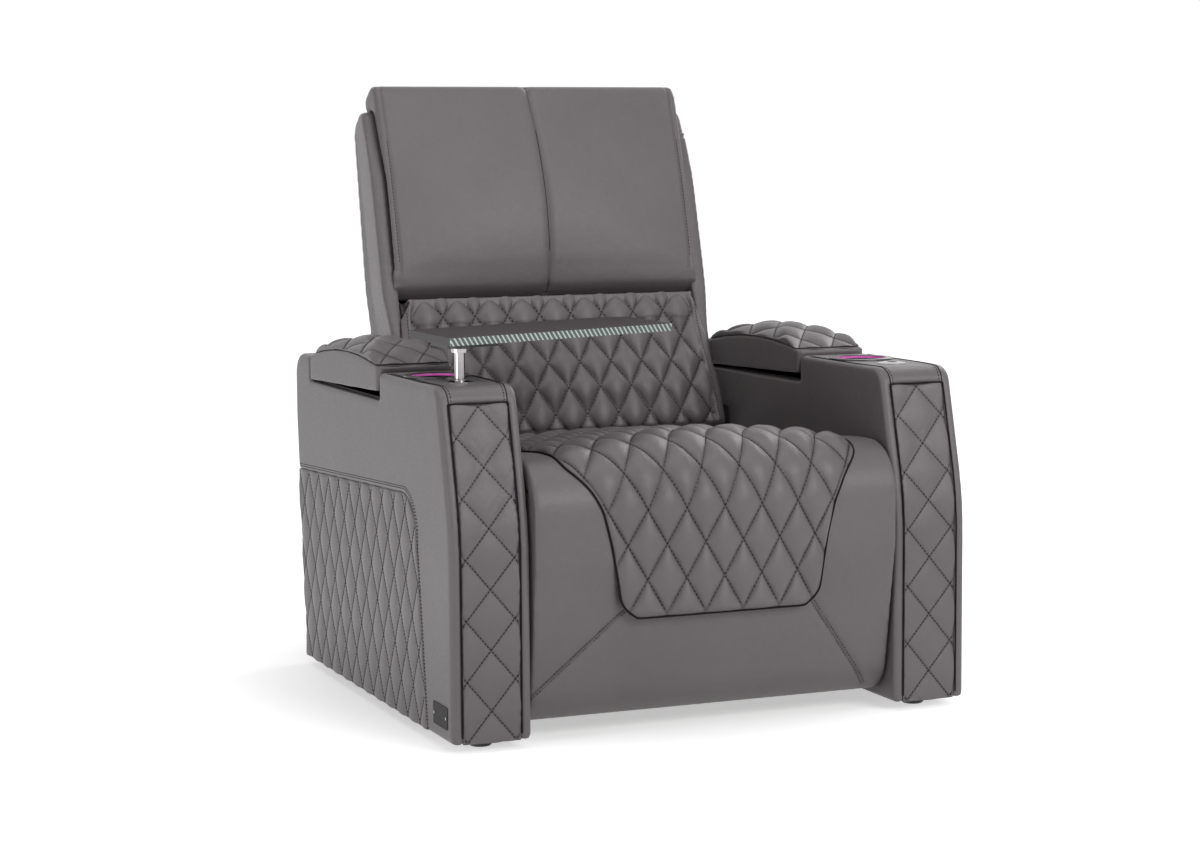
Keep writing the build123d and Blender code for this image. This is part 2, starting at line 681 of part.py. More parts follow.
def seat_cushion():
    """The plain seat cushion, rolled over the front edge as far as the mitre."""
    top_front = (NOSE_Y, SEAT_TOP)
    quarter = radians(112.5)
    arc_middle = (NOSE_Y + NOSE_RADIUS * cos(quarter), NOSE_Z + NOSE_RADIUS * sin(quarter))
    under_front = (mitre_depth(CUSHION_UNDER) + SOFT_GAP, CUSHION_UNDER)
    start = (NOSE_MID[0] + SOFT_GAP, NOSE_MID[1] + SOFT_GAP / 4)
    edges = [
        ThreePointArc(start, arc_middle, top_front),
        Line(top_front, (SEAT_REAR, SEAT_TOP)),
        Line((SEAT_REAR, SEAT_TOP), (SEAT_REAR, CUSHION_UNDER)),
        Line((SEAT_REAR, CUSHION_UNDER), under_front),
        Line(under_front, start),
    ]
    return across(joined(edges), -SEAT_HALF, SEAT_HALF)


def footrest_inner(level):
    """The y of the footrest board's rear face at a height: it leans back towards its foot."""
    high = BEND_Z - 36
    low = FOOTREST_FOOT
    return BEND_Y + 36 + FOOTREST_TUCK * (high - level) / (high - low)


def footrest_edges(back_inset):
    """The footrest in side view: nose, straight front, tucked foot, and its leaning rear face."""
    front_low = (NOSE_FRONT, NOSE_Z - 85)
    tuck = (NOSE_FRONT + FOOTREST_TUCK * 0.75, FOOTREST_FOOT + 62)
    heel = (tuck[0] + 20, FOOTREST_FOOT + 16)
    foot = (tuck[0] + 40, FOOTREST_FOOT)
    rear_foot = (footrest_inner(FOOTREST_FOOT) - back_inset, FOOTREST_FOOT)
    high = BEND_Z - 36
    rear_top = (footrest_inner(high) - back_inset, high)
    rear_high = (footrest_inner(high) - back_inset, high + back_inset)
    quarter = radians(157.5)
    arc_middle = (NOSE_Y + NOSE_RADIUS * cos(quarter), NOSE_Z + NOSE_RADIUS * sin(quarter))
    return [
        ThreePointArc(NOSE_MID, arc_middle, (NOSE_FRONT, NOSE_Z)),
        Line((NOSE_FRONT, NOSE_Z), front_low),
        Line(front_low, tuck),
        ThreePointArc(tuck, heel, foot),
        Line(foot, rear_foot),
        Line(rear_foot, rear_top),
        *([Line(rear_top, rear_high)] if back_inset else []),
        Line(rear_high, NOSE_MID),
    ]


def footrest_cushion():
    return across(joined(footrest_edges(BOARD_THICK)), -SEAT_HALF, SEAT_HALF)


def footrest_board():
    """The plywood board behind the footrest's padding."""
    high = BEND_Z - 36
    rear_foot = footrest_inner(FOOTREST_FOOT)
    rear_high = footrest_inner(high)
    face = outline(
        [
            (rear_foot - BOARD_THICK, FOOTREST_FOOT, 0),
            (rear_foot, FOOTREST_FOOT, 0),
            (rear_high, high, 0),
            (rear_high - BOARD_THICK, high, 0),
        ]
    )
    return across(face, -SEAT_HALF + 2, SEAT_HALF - 2)


def crowned_face(half, base, edge, rise):
    """An end view of a pad: a flat base, short sides and one long arched top."""
    return joined(
        [
            Line((-half, base), (-half, base + edge)),
            ThreePointArc((-half, base + edge), (0, base + rise), (half, base + edge)),
            Line((half, base + edge), (half, base)),
            Line((half, base), (-half, base)),
        ]
    )


def seat_pad():
    """The quilted pad on top of the seat, in from its plain shoulders."""
    front = BEND_Y + 1
    rear = SEAT_REAR - 2
    roll = joined(
        [
            Line((NOSE_Y, SEAT_TOP), (rear, SEAT_TOP)),
            Line((rear, SEAT_TOP), (rear, SEAT_TOP + PAD_RISE)),
            Line((rear, SEAT_TOP + PAD_RISE), (NOSE_Y + 40, SEAT_TOP + PAD_RISE)),
            ThreePointArc(
                (NOSE_Y + 40, SEAT_TOP + PAD_RISE),
                (NOSE_Y - 20, SEAT_TOP + PAD_RISE - 11),
                (front, BEND_Z + PAD_CREASE),
            ),
            Line((front, BEND_Z + PAD_CREASE), (front, BEND_Z)),
            Line((front, BEND_Z), (NOSE_Y, SEAT_TOP)),
        ]
    )
    drop = SEAT_TOP - BEND_Z + 2
    body = backward(crowned_face(PAD_HALF, BEND_Z - 2, drop + PAD_EDGE_RISE, drop + PAD_RISE), front, rear)
    body = body & across(roll, -SEAT_HALF, SEAT_HALF)
    body = body - Pos(0, 0, SOFT_GAP) * seat_cushion()
    skin = body - Pos(0, 0, -CHANNEL_DEEP) * body
    strips = diamond_strips(PAD_DIAMOND, (-PAD_HALF, PAD_HALF), (front, rear), PAD_DIAMOND[0] / 2, rear)
    return channelled(body, skin, strips, lambda face: upward(face, BEND_Z - 3, SEAT_TOP + PAD_RISE + 1))


def footrest_pad():
    """The quilted pad down the footrest's front, narrowing to its rounded foot."""
    top = BEND_Z - 1
    plan = outline(
        [
            (-PAD_FOOT_HALF, PAD_FOOT, 34),
            (PAD_FOOT_HALF, PAD_FOOT, 34),
            (PAD_WAIST_HALF, PAD_WAIST, 300),
            (PAD_BROW_HALF, top - PAD_BROW_DROP, 60),
            (PAD_HALF, top, 0),
            (-PAD_HALF, top, 0),
            (-PAD_BROW_HALF, top - PAD_BROW_DROP, 60),
            (-PAD_WAIST_HALF, PAD_WAIST, 300),
        ]
    )
    body = backward(plan, -NOSE_PROUD, NOSE_Y)
    crown = joined(
        [
            Line((-PAD_HALF, NOSE_Y), (-PAD_HALF, NOSE_FRONT - 2)),
            ThreePointArc((-PAD_HALF, NOSE_FRONT - 2), (0, -NOSE_PROUD), (PAD_HALF, NOSE_FRONT - 2)),
            Line((PAD_HALF, NOSE_FRONT - 2), (PAD_HALF, NOSE_Y)),
            Line((PAD_HALF, NOSE_Y), (-PAD_HALF, NOSE_Y)),
        ]
    )
    body = body & upward(crown, PAD_FOOT - 1, top + 1)
    shed = joined(
        [
            Line((BEND_Y, top), (BEND_Y - PAD_CREASE, top)),
            ThreePointArc((BEND_Y - PAD_CREASE, top), (-NOSE_PROUD + 9, NOSE_Z + 25), (-NOSE_PROUD, NOSE_Z - 40)),
            Line((-NOSE_PROUD, NOSE_Z - 40), (-NOSE_PROUD, PAD_FOOT)),
            Line((-NOSE_PROUD, PAD_FOOT), (NOSE_FRONT + 20, PAD_FOOT)),
            Line((NOSE_FRONT + 20, PAD_FOOT), (NOSE_FRONT + 20, NOSE_Z)),
            Line((NOSE_FRONT + 20, NOSE_Z), (BEND_Y, top)),
        ]
    )
    body = body & across(shed, -SEAT_HALF, SEAT_HALF)
    body = body - Pos(0, -SOFT_GAP, 0) * across(joined(footrest_edges(0)), -SEAT_HALF, SEAT_HALF)
    skin = body - Pos(0, CHANNEL_DEEP, 0) * body
    strips = diamond_strips(PAD_DIAMOND, (-PAD_HALF, PAD_HALF), (PAD_FOOT, top), PAD_DIAMOND[0] / 2, top)
    return channelled(body, skin, strips, lambda face: backward(face, -NOSE_PROUD - 1, NOSE_Y))


# ---- footrest linkage ----
def along_line(distance):
    """A point on the line from the footrest's virtual axis that the fixed pivots stand on."""
    dip = radians(LINE_DIP)
    return BEND_Y + distance * cos(dip), BEND_Z - distance * sin(dip)


def crank_end(pivot, distance):
    """A point on a crank, or on the footrest bracket, at a distance from its pivot."""
    lean = radians(CRANK_BACK)
    return pivot[0] + distance * sin(lean), pivot[1] - distance * cos(lean)


FRONT_AXIS = along_line(FRONT_PIVOT)
REAR_AXIS = along_line(REAR_PIVOT)
BEND_AXIS = (BEND_Y, BEND_Z)
CRANK_OUTER = PLATE_OUTER - PLATE_THICK - FACE_GAP
CRANK_INNER = CRANK_OUTER - LINK_THICK
BAR_OUTER = CRANK_INNER - FACE_GAP
BAR_INNER = BAR_OUTER - LINK_THICK
HEAD_OUTER = BAR_INNER - FACE_GAP / 2
HEAD_INNER = HEAD_OUTER - 3


def link_face(first, last, half):
    """A flat link's side view: a bar with round ends about two pins."""
    length = hypot(last[0] - first[0], last[1] - first[1])
    turn = degrees(atan2(last[1] - first[1], last[0] - first[0]))
    middle = Pos((first[0] + last[0]) / 2, (first[1] + last[1]) / 2)
    return middle * Rot(0, 0, turn) * SlotCenterToCenter(length, 2 * half)


def pin_bore(place):
    return rod_x(PIN_RADIUS + RUN_FIT, place[0], place[1], BAR_INNER - 20, PLATE_OUTER + 20)


def crank_stud(place):
    """A riveted stud on a crank or bracket, through a bar, with its head on the far side."""
    shank = rod_x(PIN_RADIUS, place[0], place[1], HEAD_INNER, CRANK_INNER)
    head = rod_x(PIN_HEAD, place[0], place[1], HEAD_INNER, HEAD_OUTER)
    return shank + head


def front_crank():
    """The long crank on the front pivot, with a stud for each bar."""
    far = crank_end(FRONT_AXIS, LONG_PIN)
    near = crank_end(FRONT_AXIS, SHORT_PIN)
    body = across(link_face(FRONT_AXIS, far, LINK_HALF + 2), CRANK_INNER, CRANK_OUTER) - pin_bore(FRONT_AXIS)
    return body + crank_stud(near) + crank_stud(far)


def drive_shaft():
    """The torsion tube across the seat, with the two short rear cranks welded to it."""
    body = rod_x(SHAFT_RADIUS, *REAR_AXIS, -PLATE_OUTER - 6, PLATE_OUTER + 6)
    near = crank_end(REAR_AXIS, SHORT_PIN)
    crank = across(link_face(REAR_AXIS, near, LINK_HALF + 5), CRANK_INNER, CRANK_OUTER) + crank_stud(near)
    body = body + crank + other_side(crank)
    return body - rod_x(SHAFT_RADIUS - SHAFT_WALL, *REAR_AXIS, -WIDTH, WIDTH)


def bar(pin_distance, from_rear):
    """A bar that stays parallel to the pivot line, out to the footrest bracket."""
    front = crank_end(BEND_AXIS, pin_distance)
    middle = crank_end(FRONT_AXIS, pin_distance)
    rear = crank_end(REAR_AXIS, pin_distance) if from_rear else middle
    body = across(link_face(front, rear, LINK_HALF), BAR_INNER, BAR_OUTER)
    for place in {front, middle, rear}:
        body = body - pin_bore(place)
    return body


def footrest_bracket():
    """The bracket on the back of the footrest board that the two bars are pinned to."""
    near = crank_end(BEND_AXIS, SHORT_PIN)
    far = crank_end(BEND_AXIS, LONG_PIN)
    top = near[1] + 10
    foot = far[1] - 90
    web = outline(
        [
            (footrest_inner(top), top, 0),
            (near[0] + LINK_HALF, near[1] + 6, 4),
            (far[0] + LINK_HALF + 2, far[1] + 2, 10),
            (far[0] + 2, far[1] - LINK_HALF - 6, 10),
            (footrest_inner(foot), foot, 0),
        ]
    )
    body = across(web, CRANK_INNER, CRANK_OUTER)
    flange_face = outline(
        [
            (footrest_inner(top), top, 0),
            (footrest_inner(top) + 4, top, 0),
            (footrest_inner(foot) + 4, foot, 0),
            (footrest_inner(foot), foot, 0),
        ]
    )
    body = body + across(flange_face, CRANK_INNER - 34, CRANK_OUTER)
    clear = block(0, CRANK_INNER, 0, ARM_LENGTH, near[1] - 30, BEND_Z)
    body = body - clear
    return body + crank_stud(near) + crank_stud(far)


# ---- seat frame, slides and drives ----
def side_plate():
    """The pressed side plate: front pivot stud, shaft bushing, back pivot and legs down to the glides."""
    back = (BACK_PIVOT_Y, BACK_PIVOT_Z)
    top = CUSHION_UNDER - 4
    glide_z = CHANNEL_Z + CHANNEL_TALL / 2
    legs = glide_centres()
    face = outline(
        [
            (FRONT_AXIS[0] - 60, top, 6),
            (FRONT_AXIS[0] - 60, FRONT_AXIS[1] - 34, 12),
            (legs[0] - 24, FRONT_AXIS[1] - 70, 20),
            (legs[0] - 24, glide_z - 12, 6),
            (legs[0] + 24, glide_z - 12, 6),
            (legs[0] + 24, REAR_AXIS[1] - 50, 20),
            (legs[1] - 24, REAR_AXIS[1] - 50, 20),
            (legs[1] - 24, glide_z - 12, 6),
            (legs[1] + 24, glide_z - 12, 6),
            (legs[1] + 24, BACK_PIVOT_Z - 60, 20),
            (back[0] + 30, back[1] - 28, 20),
            (back[0] + 30, back[1] + 34, 20),
            (RAIL_REAR, top, 12),
        ]
    )
    body = across(face, PLATE_OUTER - PLATE_THICK, PLATE_OUTER)
    body = body - rod_x(SHAFT_RADIUS + RUN_FIT, *REAR_AXIS, 0, WIDTH)
    for y, radius in ((430.0, 22.0), (500.0, 22.0), (570.0, 22.0), (640.0, 22.0)):
        body = body - rod_x(radius, y, REAR_AXIS[1] + 10, 0, WIDTH)
    stud = rod_x(PIN_RADIUS, *FRONT_AXIS, CRANK_INNER - 2.5, PLATE_OUTER)
    head = rod_x(PIN_HEAD, *FRONT_AXIS, CRANK_INNER - 3, CRANK_INNER - 0.5)
    pivot = rod_x(8, *back, PLATE_OUTER - PLATE_THICK - 10, PLATE_OUTER)
    pivot_head = rod_x(12, *back, PLATE_OUTER - PLATE_THICK - 10, PLATE_OUTER - PLATE_THICK - 7)
    return body + stud + head + pivot + pivot_head


def glide_centres():
    """Where the two glide blocks of a side sit at rest: both stay in the channel over the travel."""
    front = CHANNEL_FRONT + SLIDE_TRAVEL + GLIDE_LENGTH / 2 + 10
    rear = CHANNEL_REAR - GLIDE_LENGTH / 2 - 10
    return front, rear


def glides():
    """Four nylon blocks that run in the channels, each on the foot of a side plate."""
    solids = []
    z = CHANNEL_Z + CHANNEL_TALL / 2
    half = CHANNEL_TALL / 2 - CHANNEL_WALL - 0.3
    for y in glide_centres():
        ends = y - GLIDE_LENGTH / 2, y + GLIDE_LENGTH / 2
        glide = block(PLATE_OUTER, INNER - CHANNEL_WALL - 0.5, *ends, z - half, z + half)
        solids.append(chamfer(glide.edges().filter_by(Axis.X), 4))
    return solids + [other_side(solid) for solid in solids]


def seat_frame():
    """The seat's timber frame: two side rails, a notched front rail and a rear rail."""
    low = CUSHION_UNDER - RAIL_DEEP
    inner = PLATE_OUTER
    outer = inner + RAIL_THICK
    body = block(-outer, outer, RAIL_FRONT, RAIL_REAR, low, CUSHION_UNDER)
    body = body - block(-inner, inner, RAIL_FRONT + RAIL_THICK, RAIL_REAR - RAIL_THICK, low - 1, CUSHION_UNDER + 1)
    clear = block(BAR_INNER - 14, inner, RAIL_FRONT - 1, RAIL_FRONT + RAIL_THICK + 1, low - 1, CUSHION_UNDER - 18)
    rear_clear = block(BAR_INNER - 14, inner, RAIL_REAR - RAIL_THICK - 1, RAIL_REAR + 1, low - 1, CUSHION_UNDER - 2)
    return body - clear - other_side(clear) - rear_clear - other_side(rear_clear)


def seat_springs():
    """Sinuous springs from the front rail to the rear rail."""
    solids = []
    start = RAIL_FRONT + RAIL_THICK + SPRING_WIRE / 2
    end = RAIL_REAR - RAIL_THICK - SPRING_WIRE / 2
    waves = 12
    pitch = (end - start) / waves
    swing = 24.0
    spacing = 2 * PLATE_OUTER / (SPRING_COUNT + 1)
    for i in range(SPRING_COUNT):
        x = -PLATE_OUTER + spacing * (i + 1)
        points = [(x, start)]
        for k in range(waves):
            turn = swing if k % 2 == 0 else -swing
            points.append((x + turn, start + pitch * (k + 0.15)))
            points.append((x + turn, start + pitch * (k + 0.85)))
        points.append((x, end))
        path = Polyline(*points)
        face = trace(path, SPRING_WIRE)
        solids.append(upward(face, CUSHION_UNDER - 14, CUSHION_UNDER - 14 + SPRING_WIRE))
    return solids


def base_frame():
    """The fixed chassis: a channel bolted to each arm and two cross tubes between them."""
    low = CHANNEL_Z
    high = CHANNEL_Z + CHANNEL_TALL
    channel = block(PLATE_OUTER + 4, INNER, CHANNEL_FRONT, CHANNEL_REAR, low, high)
    channel = channel - block(PLATE_OUTER, INNER - CHANNEL_WALL, CHANNEL_FRONT - 1, CHANNEL_REAR + 1,
                              low + CHANNEL_WALL, high - CHANNEL_WALL)
    body = channel + other_side(channel)
    for y in (CHANNEL_FRONT + 20, CHANNEL_REAR - TUBE_SIDE - 20):
        tube = block(-INNER, INNER, y, y + TUBE_SIDE, low - TUBE_SIDE, low)
        hollow = block(-INNER - 1, INNER + 1, y + 2, y + TUBE_SIDE - 2, low - TUBE_SIDE + 2, low - 2)
        body = body + (tube - hollow)
    return body


def guide_pin_place():
    """The pin on the back that a fixed slot holds while the seat slides forward."""
    half = radians(RECLINE / 2)
    reach = SLIDE_TRAVEL / (2 * sin(half))
    return BACK_PIVOT_Y - reach * sin(half), BACK_PIVOT_Z + reach * cos(half), reach * (1 - cos(half))


def guide_plates():
    """A slotted plate on each arm's inner face: its slot holds the back's guide pin against the slide."""
    y, z, rise = guide_pin_place()
    face = Pos(y, z + rise / 2) * RectangleRounded(60, 70, 10)
    slot = Pos(y, z + rise / 2) * Rot(0, 0, 90) * SlotCenterToCenter(rise + 2, 2 * (PIN_RADIUS + 0.8))
    plate = across(face - slot, INNER - 3, INNER)
    return [plate, other_side(plate)]


def recline_actuator():
    """The linear drive on the rear cross tube: motor, gear head and the tube that the rod slides in."""
    rear = CHANNEL_REAR - TUBE_SIDE - 20
    tube = Pos(0, rear - DRIVE_TUBE / 2, DRIVE_Z) * Rot(90, 0, 0) * Cylinder(ROD_RADIUS + 7, DRIVE_TUBE)
    head = block(-32, 32, rear, rear + TUBE_SIDE + 30, CHANNEL_Z, DRIVE_Z + 26)
    motor = Pos(0, rear + TUBE_SIDE, DRIVE_Z + 56) * Rot(90, 0, 0) * Cylinder(30, 60)
    neck = block(-24, 24, rear, rear + TUBE_SIDE + 30, DRIVE_Z + 20, DRIVE_Z + 40)
    bore = Pos(0, rear - DRIVE_TUBE / 2, DRIVE_Z) * Rot(90, 0, 0) * Cylinder(ROD_RADIUS + 0.2, DRIVE_TUBE)
    return head + tube - bore + motor + neck


def recline_rod():
    """The drive's rod and the beam that it pushes, which ties the seat's side plates together."""
    rear = CHANNEL_REAR - TUBE_SIDE - 20
    end = rear - DRIVE_TUBE - 14
    length = SLIDE_TRAVEL + 84
    rod = Pos(0, end + length / 2, DRIVE_Z) * Rot(90, 0, 0) * Cylinder(ROD_RADIUS, length)
    half = PLATE_OUTER - PLATE_THICK
    beam = block(-half, half, end - BEAM_DEEP, end, BEAM_Z, BEAM_Z + BEAM_DEEP)
    beam = beam - block(-half - 1, half + 1, end - BEAM_DEEP + 2, end - 2, BEAM_Z + 2, BEAM_Z + BEAM_DEEP - 2)
    lug = block(-9, 9, end - BEAM_DEEP, end, DRIVE_Z - 14, BEAM_Z)
    return rod + lug + beam


def footrest_motor():
    """The gear motor that turns the shaft: a case bored for it, and its motor on a saddle on the beam."""
    y, z = REAR_AXIS
    case = across(outline([(y - 34, z - 34, 12), (y + 34, z - 34, 12), (y + 34, z + 34, 12), (y - 34, z + 34, 12)]),
                  -28, 28)
    end = CHANNEL_REAR - TUBE_SIDE - 20 - DRIVE_TUBE - 14
    motor_z = BEAM_Z + BEAM_DEEP + 4 + 27
    motor = Pos(0, (y + 30 + end) / 2, motor_z) * Rot(90, 0, 0) * Cylinder(27, end - y - 30)
    saddle = block(-18, 18, end - BEAM_DEEP, end, BEAM_Z + BEAM_DEEP, motor_z)
    return case + motor + saddle - rod_x(SHAFT_RADIUS + 0.15, y, z, -60, 60)


def feet():
    """Six round glides under the arms."""
    solids = []
    for y in (60.0, ARM_LENGTH / 2, ARM_LENGTH - 90):
        pad = rod_z(FOOT_RADIUS, ARM_MIDDLE, y, 0, SKIRT_HEIGHT)
        solids.append(chamfer(pad.edges().group_by(Axis.Z)[0], 3))
    return solids + [other_side(solid) for solid in solids]


# ---- back ----
def lean_point(along, out):
    """A point of the back's side view, up its lean from the headrest's foot and back from its front."""
    lean = radians(BACK_LEAN)
    return (
        HEAD_FRONT_FOOT + along * sin(lean) + out * cos(lean),
        HEAD_FOOT + along * cos(lean) - out * sin(lean),
    )


HEAD_LENGTH = (BACK_HEIGHT - HEAD_FOOT + 0.6 * HEAD_TOP_RADIUS) / cos(radians(BACK_LEAN))
HEAD_PIVOT = lean_point(HEAD_ROLL, HEAD_ROLL)
WELL_HALF = SHELL_FRONT_HALF - SHELL_WING
BRACKET_OUTER = PLATE_OUTER - PLATE_THICK - FACE_GAP
BRACKET_INNER = BRACKET_OUTER - FRAME_PLATE
HEAD_REAR_HALF = BRACKET_INNER - 2 * FACE_GAP


def shell_face(inset):
    """The back shell's side view, drawn in by an inset."""
    top = BACK_HEIGHT - SHELL_TOP_DROP
    foot = BACK_REAR - SHELL_FOOT_IN
    lip = lean_point(5, 9)
    return outline(
        [
            (lip[0] - 68 + inset, lip[1] - 200 + inset, 12),
            (lip[0] + inset, lip[1], 260),
            (lip[0] + 62 + inset, lip[1] + 224, 300),
            (lip[0] + 125 + inset, top - inset, 22),
            (BACK_REAR - inset, top - 28 - inset, 34),
            (BACK_REAR - SHELL_WAIST_IN - inset, 600, 600),
            (foot - inset, SHELL_FOOT_Z + inset, 16),
            (foot - SHELL_FOOT_DEEP + inset, SHELL_FOOT_Z + inset, 16),
        ]
    )


def shell_block(face):
    """A side-view face swept across the back, narrowing from the rear towards the front edges."""
    lean = radians(BACK_LEAN)
    axis = (0, sin(lean), cos(lean))
    place = Plane(origin=(0, BACK_PIVOT_Y, BACK_PIVOT_Z), x_dir=(1, 0, 0), z_dir=axis)
    sides = Polyline(
        (-SHELL_FRONT_HALF, 120), (SHELL_FRONT_HALF, 120), (SHELL_FRONT_HALF, 20),
        (SHELL_REAR_HALF, -110), (SHELL_REAR_HALF, -260), (-SHELL_REAR_HALF, -260),
        (-SHELL_REAR_HALF, -110), (-SHELL_FRONT_HALF, 20), close=True,
    )
    prism = extrude(place * make_face(sides), 900, both=True)
    return across(face, -SHELL_REAR_HALF, SHELL_REAR_HALF) & prism


def shell_well_face():
    """The space inside the shell that the cushions and the back frame fill: open in front and below."""
    foot = BACK_REAR - SHELL_FOOT_IN - SHELL_BACK_WALL
    waist = BACK_REAR - SHELL_WAIST_IN - SHELL_BACK_WALL
    ledge = lean_point(HEAD_LENGTH * 0.73, HEAD_THICK + FACE_GAP)
    return outline(
        [
            (BACK_PIVOT_Y - 200, SHELL_FOOT_Z - 30, 0),
            (foot, SHELL_FOOT_Z - 30, 0),
            (foot, SHELL_FOOT_Z, 0),
            (waist, 600, 600),
            (ledge[0] + 38, ledge[1] - 70, 20),
            (*ledge, 0),
            (*lean_point(HEAD_LENGTH + 80, HEAD_THICK + FACE_GAP), 0),
            (BACK_PIVOT_Y - 200, BACK_HEIGHT + 80, 0),
        ]
    )


def back_shell():
    """The leather-covered outer shell: rear panel with a wing down each side."""
    return shell_block(shell_face(0)) - across(shell_well_face(), -WELL_HALF, WELL_HALF)


def lumbar_rear(level):
    """The y of the lumbar cushion's rear face at a height."""
    rise = (level - LUMBAR_FOOT) / (LUMBAR_TOP - LUMBAR_FOOT)
    foot = LUMBAR_FRONT_FOOT + LUMBAR_THICK
    return foot + rise * (LUMBAR_FRONT_TOP + LUMBAR_TOP_THICK - foot)


def lumbar_face(back):
    """The lumbar cushion's side view, with its front face set back: a leaning slab with a full top."""
    return outline(
        [
            (LUMBAR_FRONT_FOOT + back, LUMBAR_FOOT, 12),
            (lumbar_rear(LUMBAR_FOOT), LUMBAR_FOOT, 0),
            (lumbar_rear(LUMBAR_TOP), LUMBAR_TOP, 10),
            (LUMBAR_FRONT_TOP + back, LUMBAR_TOP, 24 - back / 3),
        ]
    )


def bulge(foot, top, half, crown):
    """A crown on a leaning front face, arched both up the slope from foot to top and across."""
    run = Vector(0, top[0] - foot[0], top[1] - foot[1])
    normal = Vector(0, -run.Z, run.Y).normalized()
    middle = Vector(0, *foot) + run * 0.5 + normal * crown
    side_view = joined([ThreePointArc(foot, (middle.Y, middle.Z), top), Line(top, foot)])
    place = Plane(origin=(0, *foot), x_dir=(1, 0, 0), z_dir=run.normalized())
    deep = place.to_local_coords(Vector(0, *foot) + normal * crown).Y
    arch = joined([ThreePointArc((-half, 0), (0, deep), (half, 0)), Line((half, 0), (-half, 0))])
    return across(side_view, -half, half) & extrude(place * arch, run.length)


def lumbar_cushion():
    """The quilted lumbar cushion: full width in front, narrower between the wings behind."""
    foot = (LUMBAR_FRONT_FOOT, LUMBAR_FOOT)
    top = (LUMBAR_FRONT_TOP, LUMBAR_TOP)
    taper = outline(
        [
            (-LUMBAR_FOOT_HALF, LUMBAR_FOOT, 0),
            (LUMBAR_FOOT_HALF, LUMBAR_FOOT, 0),
            (LUMBAR_TOP_HALF, LUMBAR_TOP + 1, 0),
            (-LUMBAR_TOP_HALF, LUMBAR_TOP + 1, 0),
        ]
    )
    front = across(lumbar_face(0), -LUMBAR_FOOT_HALF, LUMBAR_FOOT_HALF) & backward(taper, foot[0] - 100, BACK_REAR)
    body = front - shell_block(shell_face(-SOFT_GAP))
    body = body + across(lumbar_face(30), -HEAD_REAR_HALF, HEAD_REAR_HALF)
    body = body + bulge((foot[0] + 3, foot[1] + 8), (top[0] - 10, top[1] - 20), LUMBAR_TOP_HALF - 2, LUMBAR_CROWN)
    body = body - rod_x(HEAD_ROLL + 1.5, *HEAD_PIVOT, -WIDTH, WIDTH)
    run = Vector(0, top[0] - foot[0], top[1] - foot[1])
    normal = Vector(0, -run.Z, run.Y).normalized()
    skin = body - Pos(normal * -CHANNEL_DEEP) * body
    skin = skin & block(14 - LUMBAR_TOP_HALF, LUMBAR_TOP_HALF - 14, 0, BACK_REAR, LUMBAR_FOOT + 12, LUMBAR_TOP - 14)
    place = Plane(origin=(0, *foot), x_dir=(1, 0, 0), z_dir=normal)
    rows = diamond_strips(LUMBAR_DIAMOND, (-LUMBAR_TOP_HALF, LUMBAR_TOP_HALF), (-run.length, run.length), 0, 0)
    return channelled(body, skin, rows, lambda face: extrude(place * face, 40, both=True))


def headrest_cushion():
    """The headrest: a full-width front over a narrower rear, with a round foot about its tilt axis."""
    foot = HEAD_ROLL
    slab = outline(
        [
            (*lean_point(foot, 0), 0),
            (*lean_point(foot, 2 * HEAD_ROLL), 0),
            (*lean_point(foot + 60, HEAD_THICK - 6), 0),
            (*lean_point(HEAD_LENGTH - HEAD_TOP_DROP, HEAD_THICK), 12),
            (*lean_point(HEAD_LENGTH, 0), HEAD_TOP_RADIUS),
        ]
    )
    lift = lean_point(foot + 13, -HEAD_ROLL)
    upper = lean_point(foot + 13, 3 * HEAD_THICK)
    keep = outline([(*lift, 0), (*upper, 0), (upper[0] + 200, BACK_HEIGHT + 60, 0), (lift[0], BACK_HEIGHT + 60, 0)])
    front = (across(slab, -HEAD_HALF, HEAD_HALF) & across(keep, -HEAD_HALF, HEAD_HALF))
    front = front - shell_block(shell_face(-SOFT_GAP))
    roll = rod_x(HEAD_ROLL, *HEAD_PIVOT, -HEAD_REAR_HALF, HEAD_REAR_HALF)
    body = front + across(slab, -HEAD_REAR_HALF, HEAD_REAR_HALF) + roll
    body = body + bulge(lean_point(foot + 18, 1), lean_point(HEAD_LENGTH - 1.4 * HEAD_TOP_RADIUS, 1), HEAD_HALF - 8,
                        HEAD_CROWN)
    seam = block(-1, 1, 0, BACK_REAR, 0, BACK_HEIGHT + 20) & (body - Pos(0, 2, 0) * body)
    return body - seam - rod_x(HEAD_TUBE_RADIUS, *HEAD_PIVOT, -WIDTH, WIDTH)


def headrest_tube():
    """The tilt tube in the headrest's foot, turning on the back frame's stub pins."""
    tube = rod_x(HEAD_TUBE_RADIUS, *HEAD_PIVOT, -HEAD_REAR_HALF, HEAD_REAR_HALF)
    return tube - rod_x(HEAD_STUB_RADIUS + RUN_FIT, *HEAD_PIVOT, -WIDTH, WIDTH)


def cross_tube(y_low, z_low, half):
    """A square tube across the back frame."""
    tube = block(-half, half, y_low, y_low + TUBE_SIDE, z_low, z_low + TUBE_SIDE)
    return tube - block(-half - 1, half + 1, y_low + 2, y_low + TUBE_SIDE - 2, z_low + 2, z_low + TUBE_SIDE - 2)


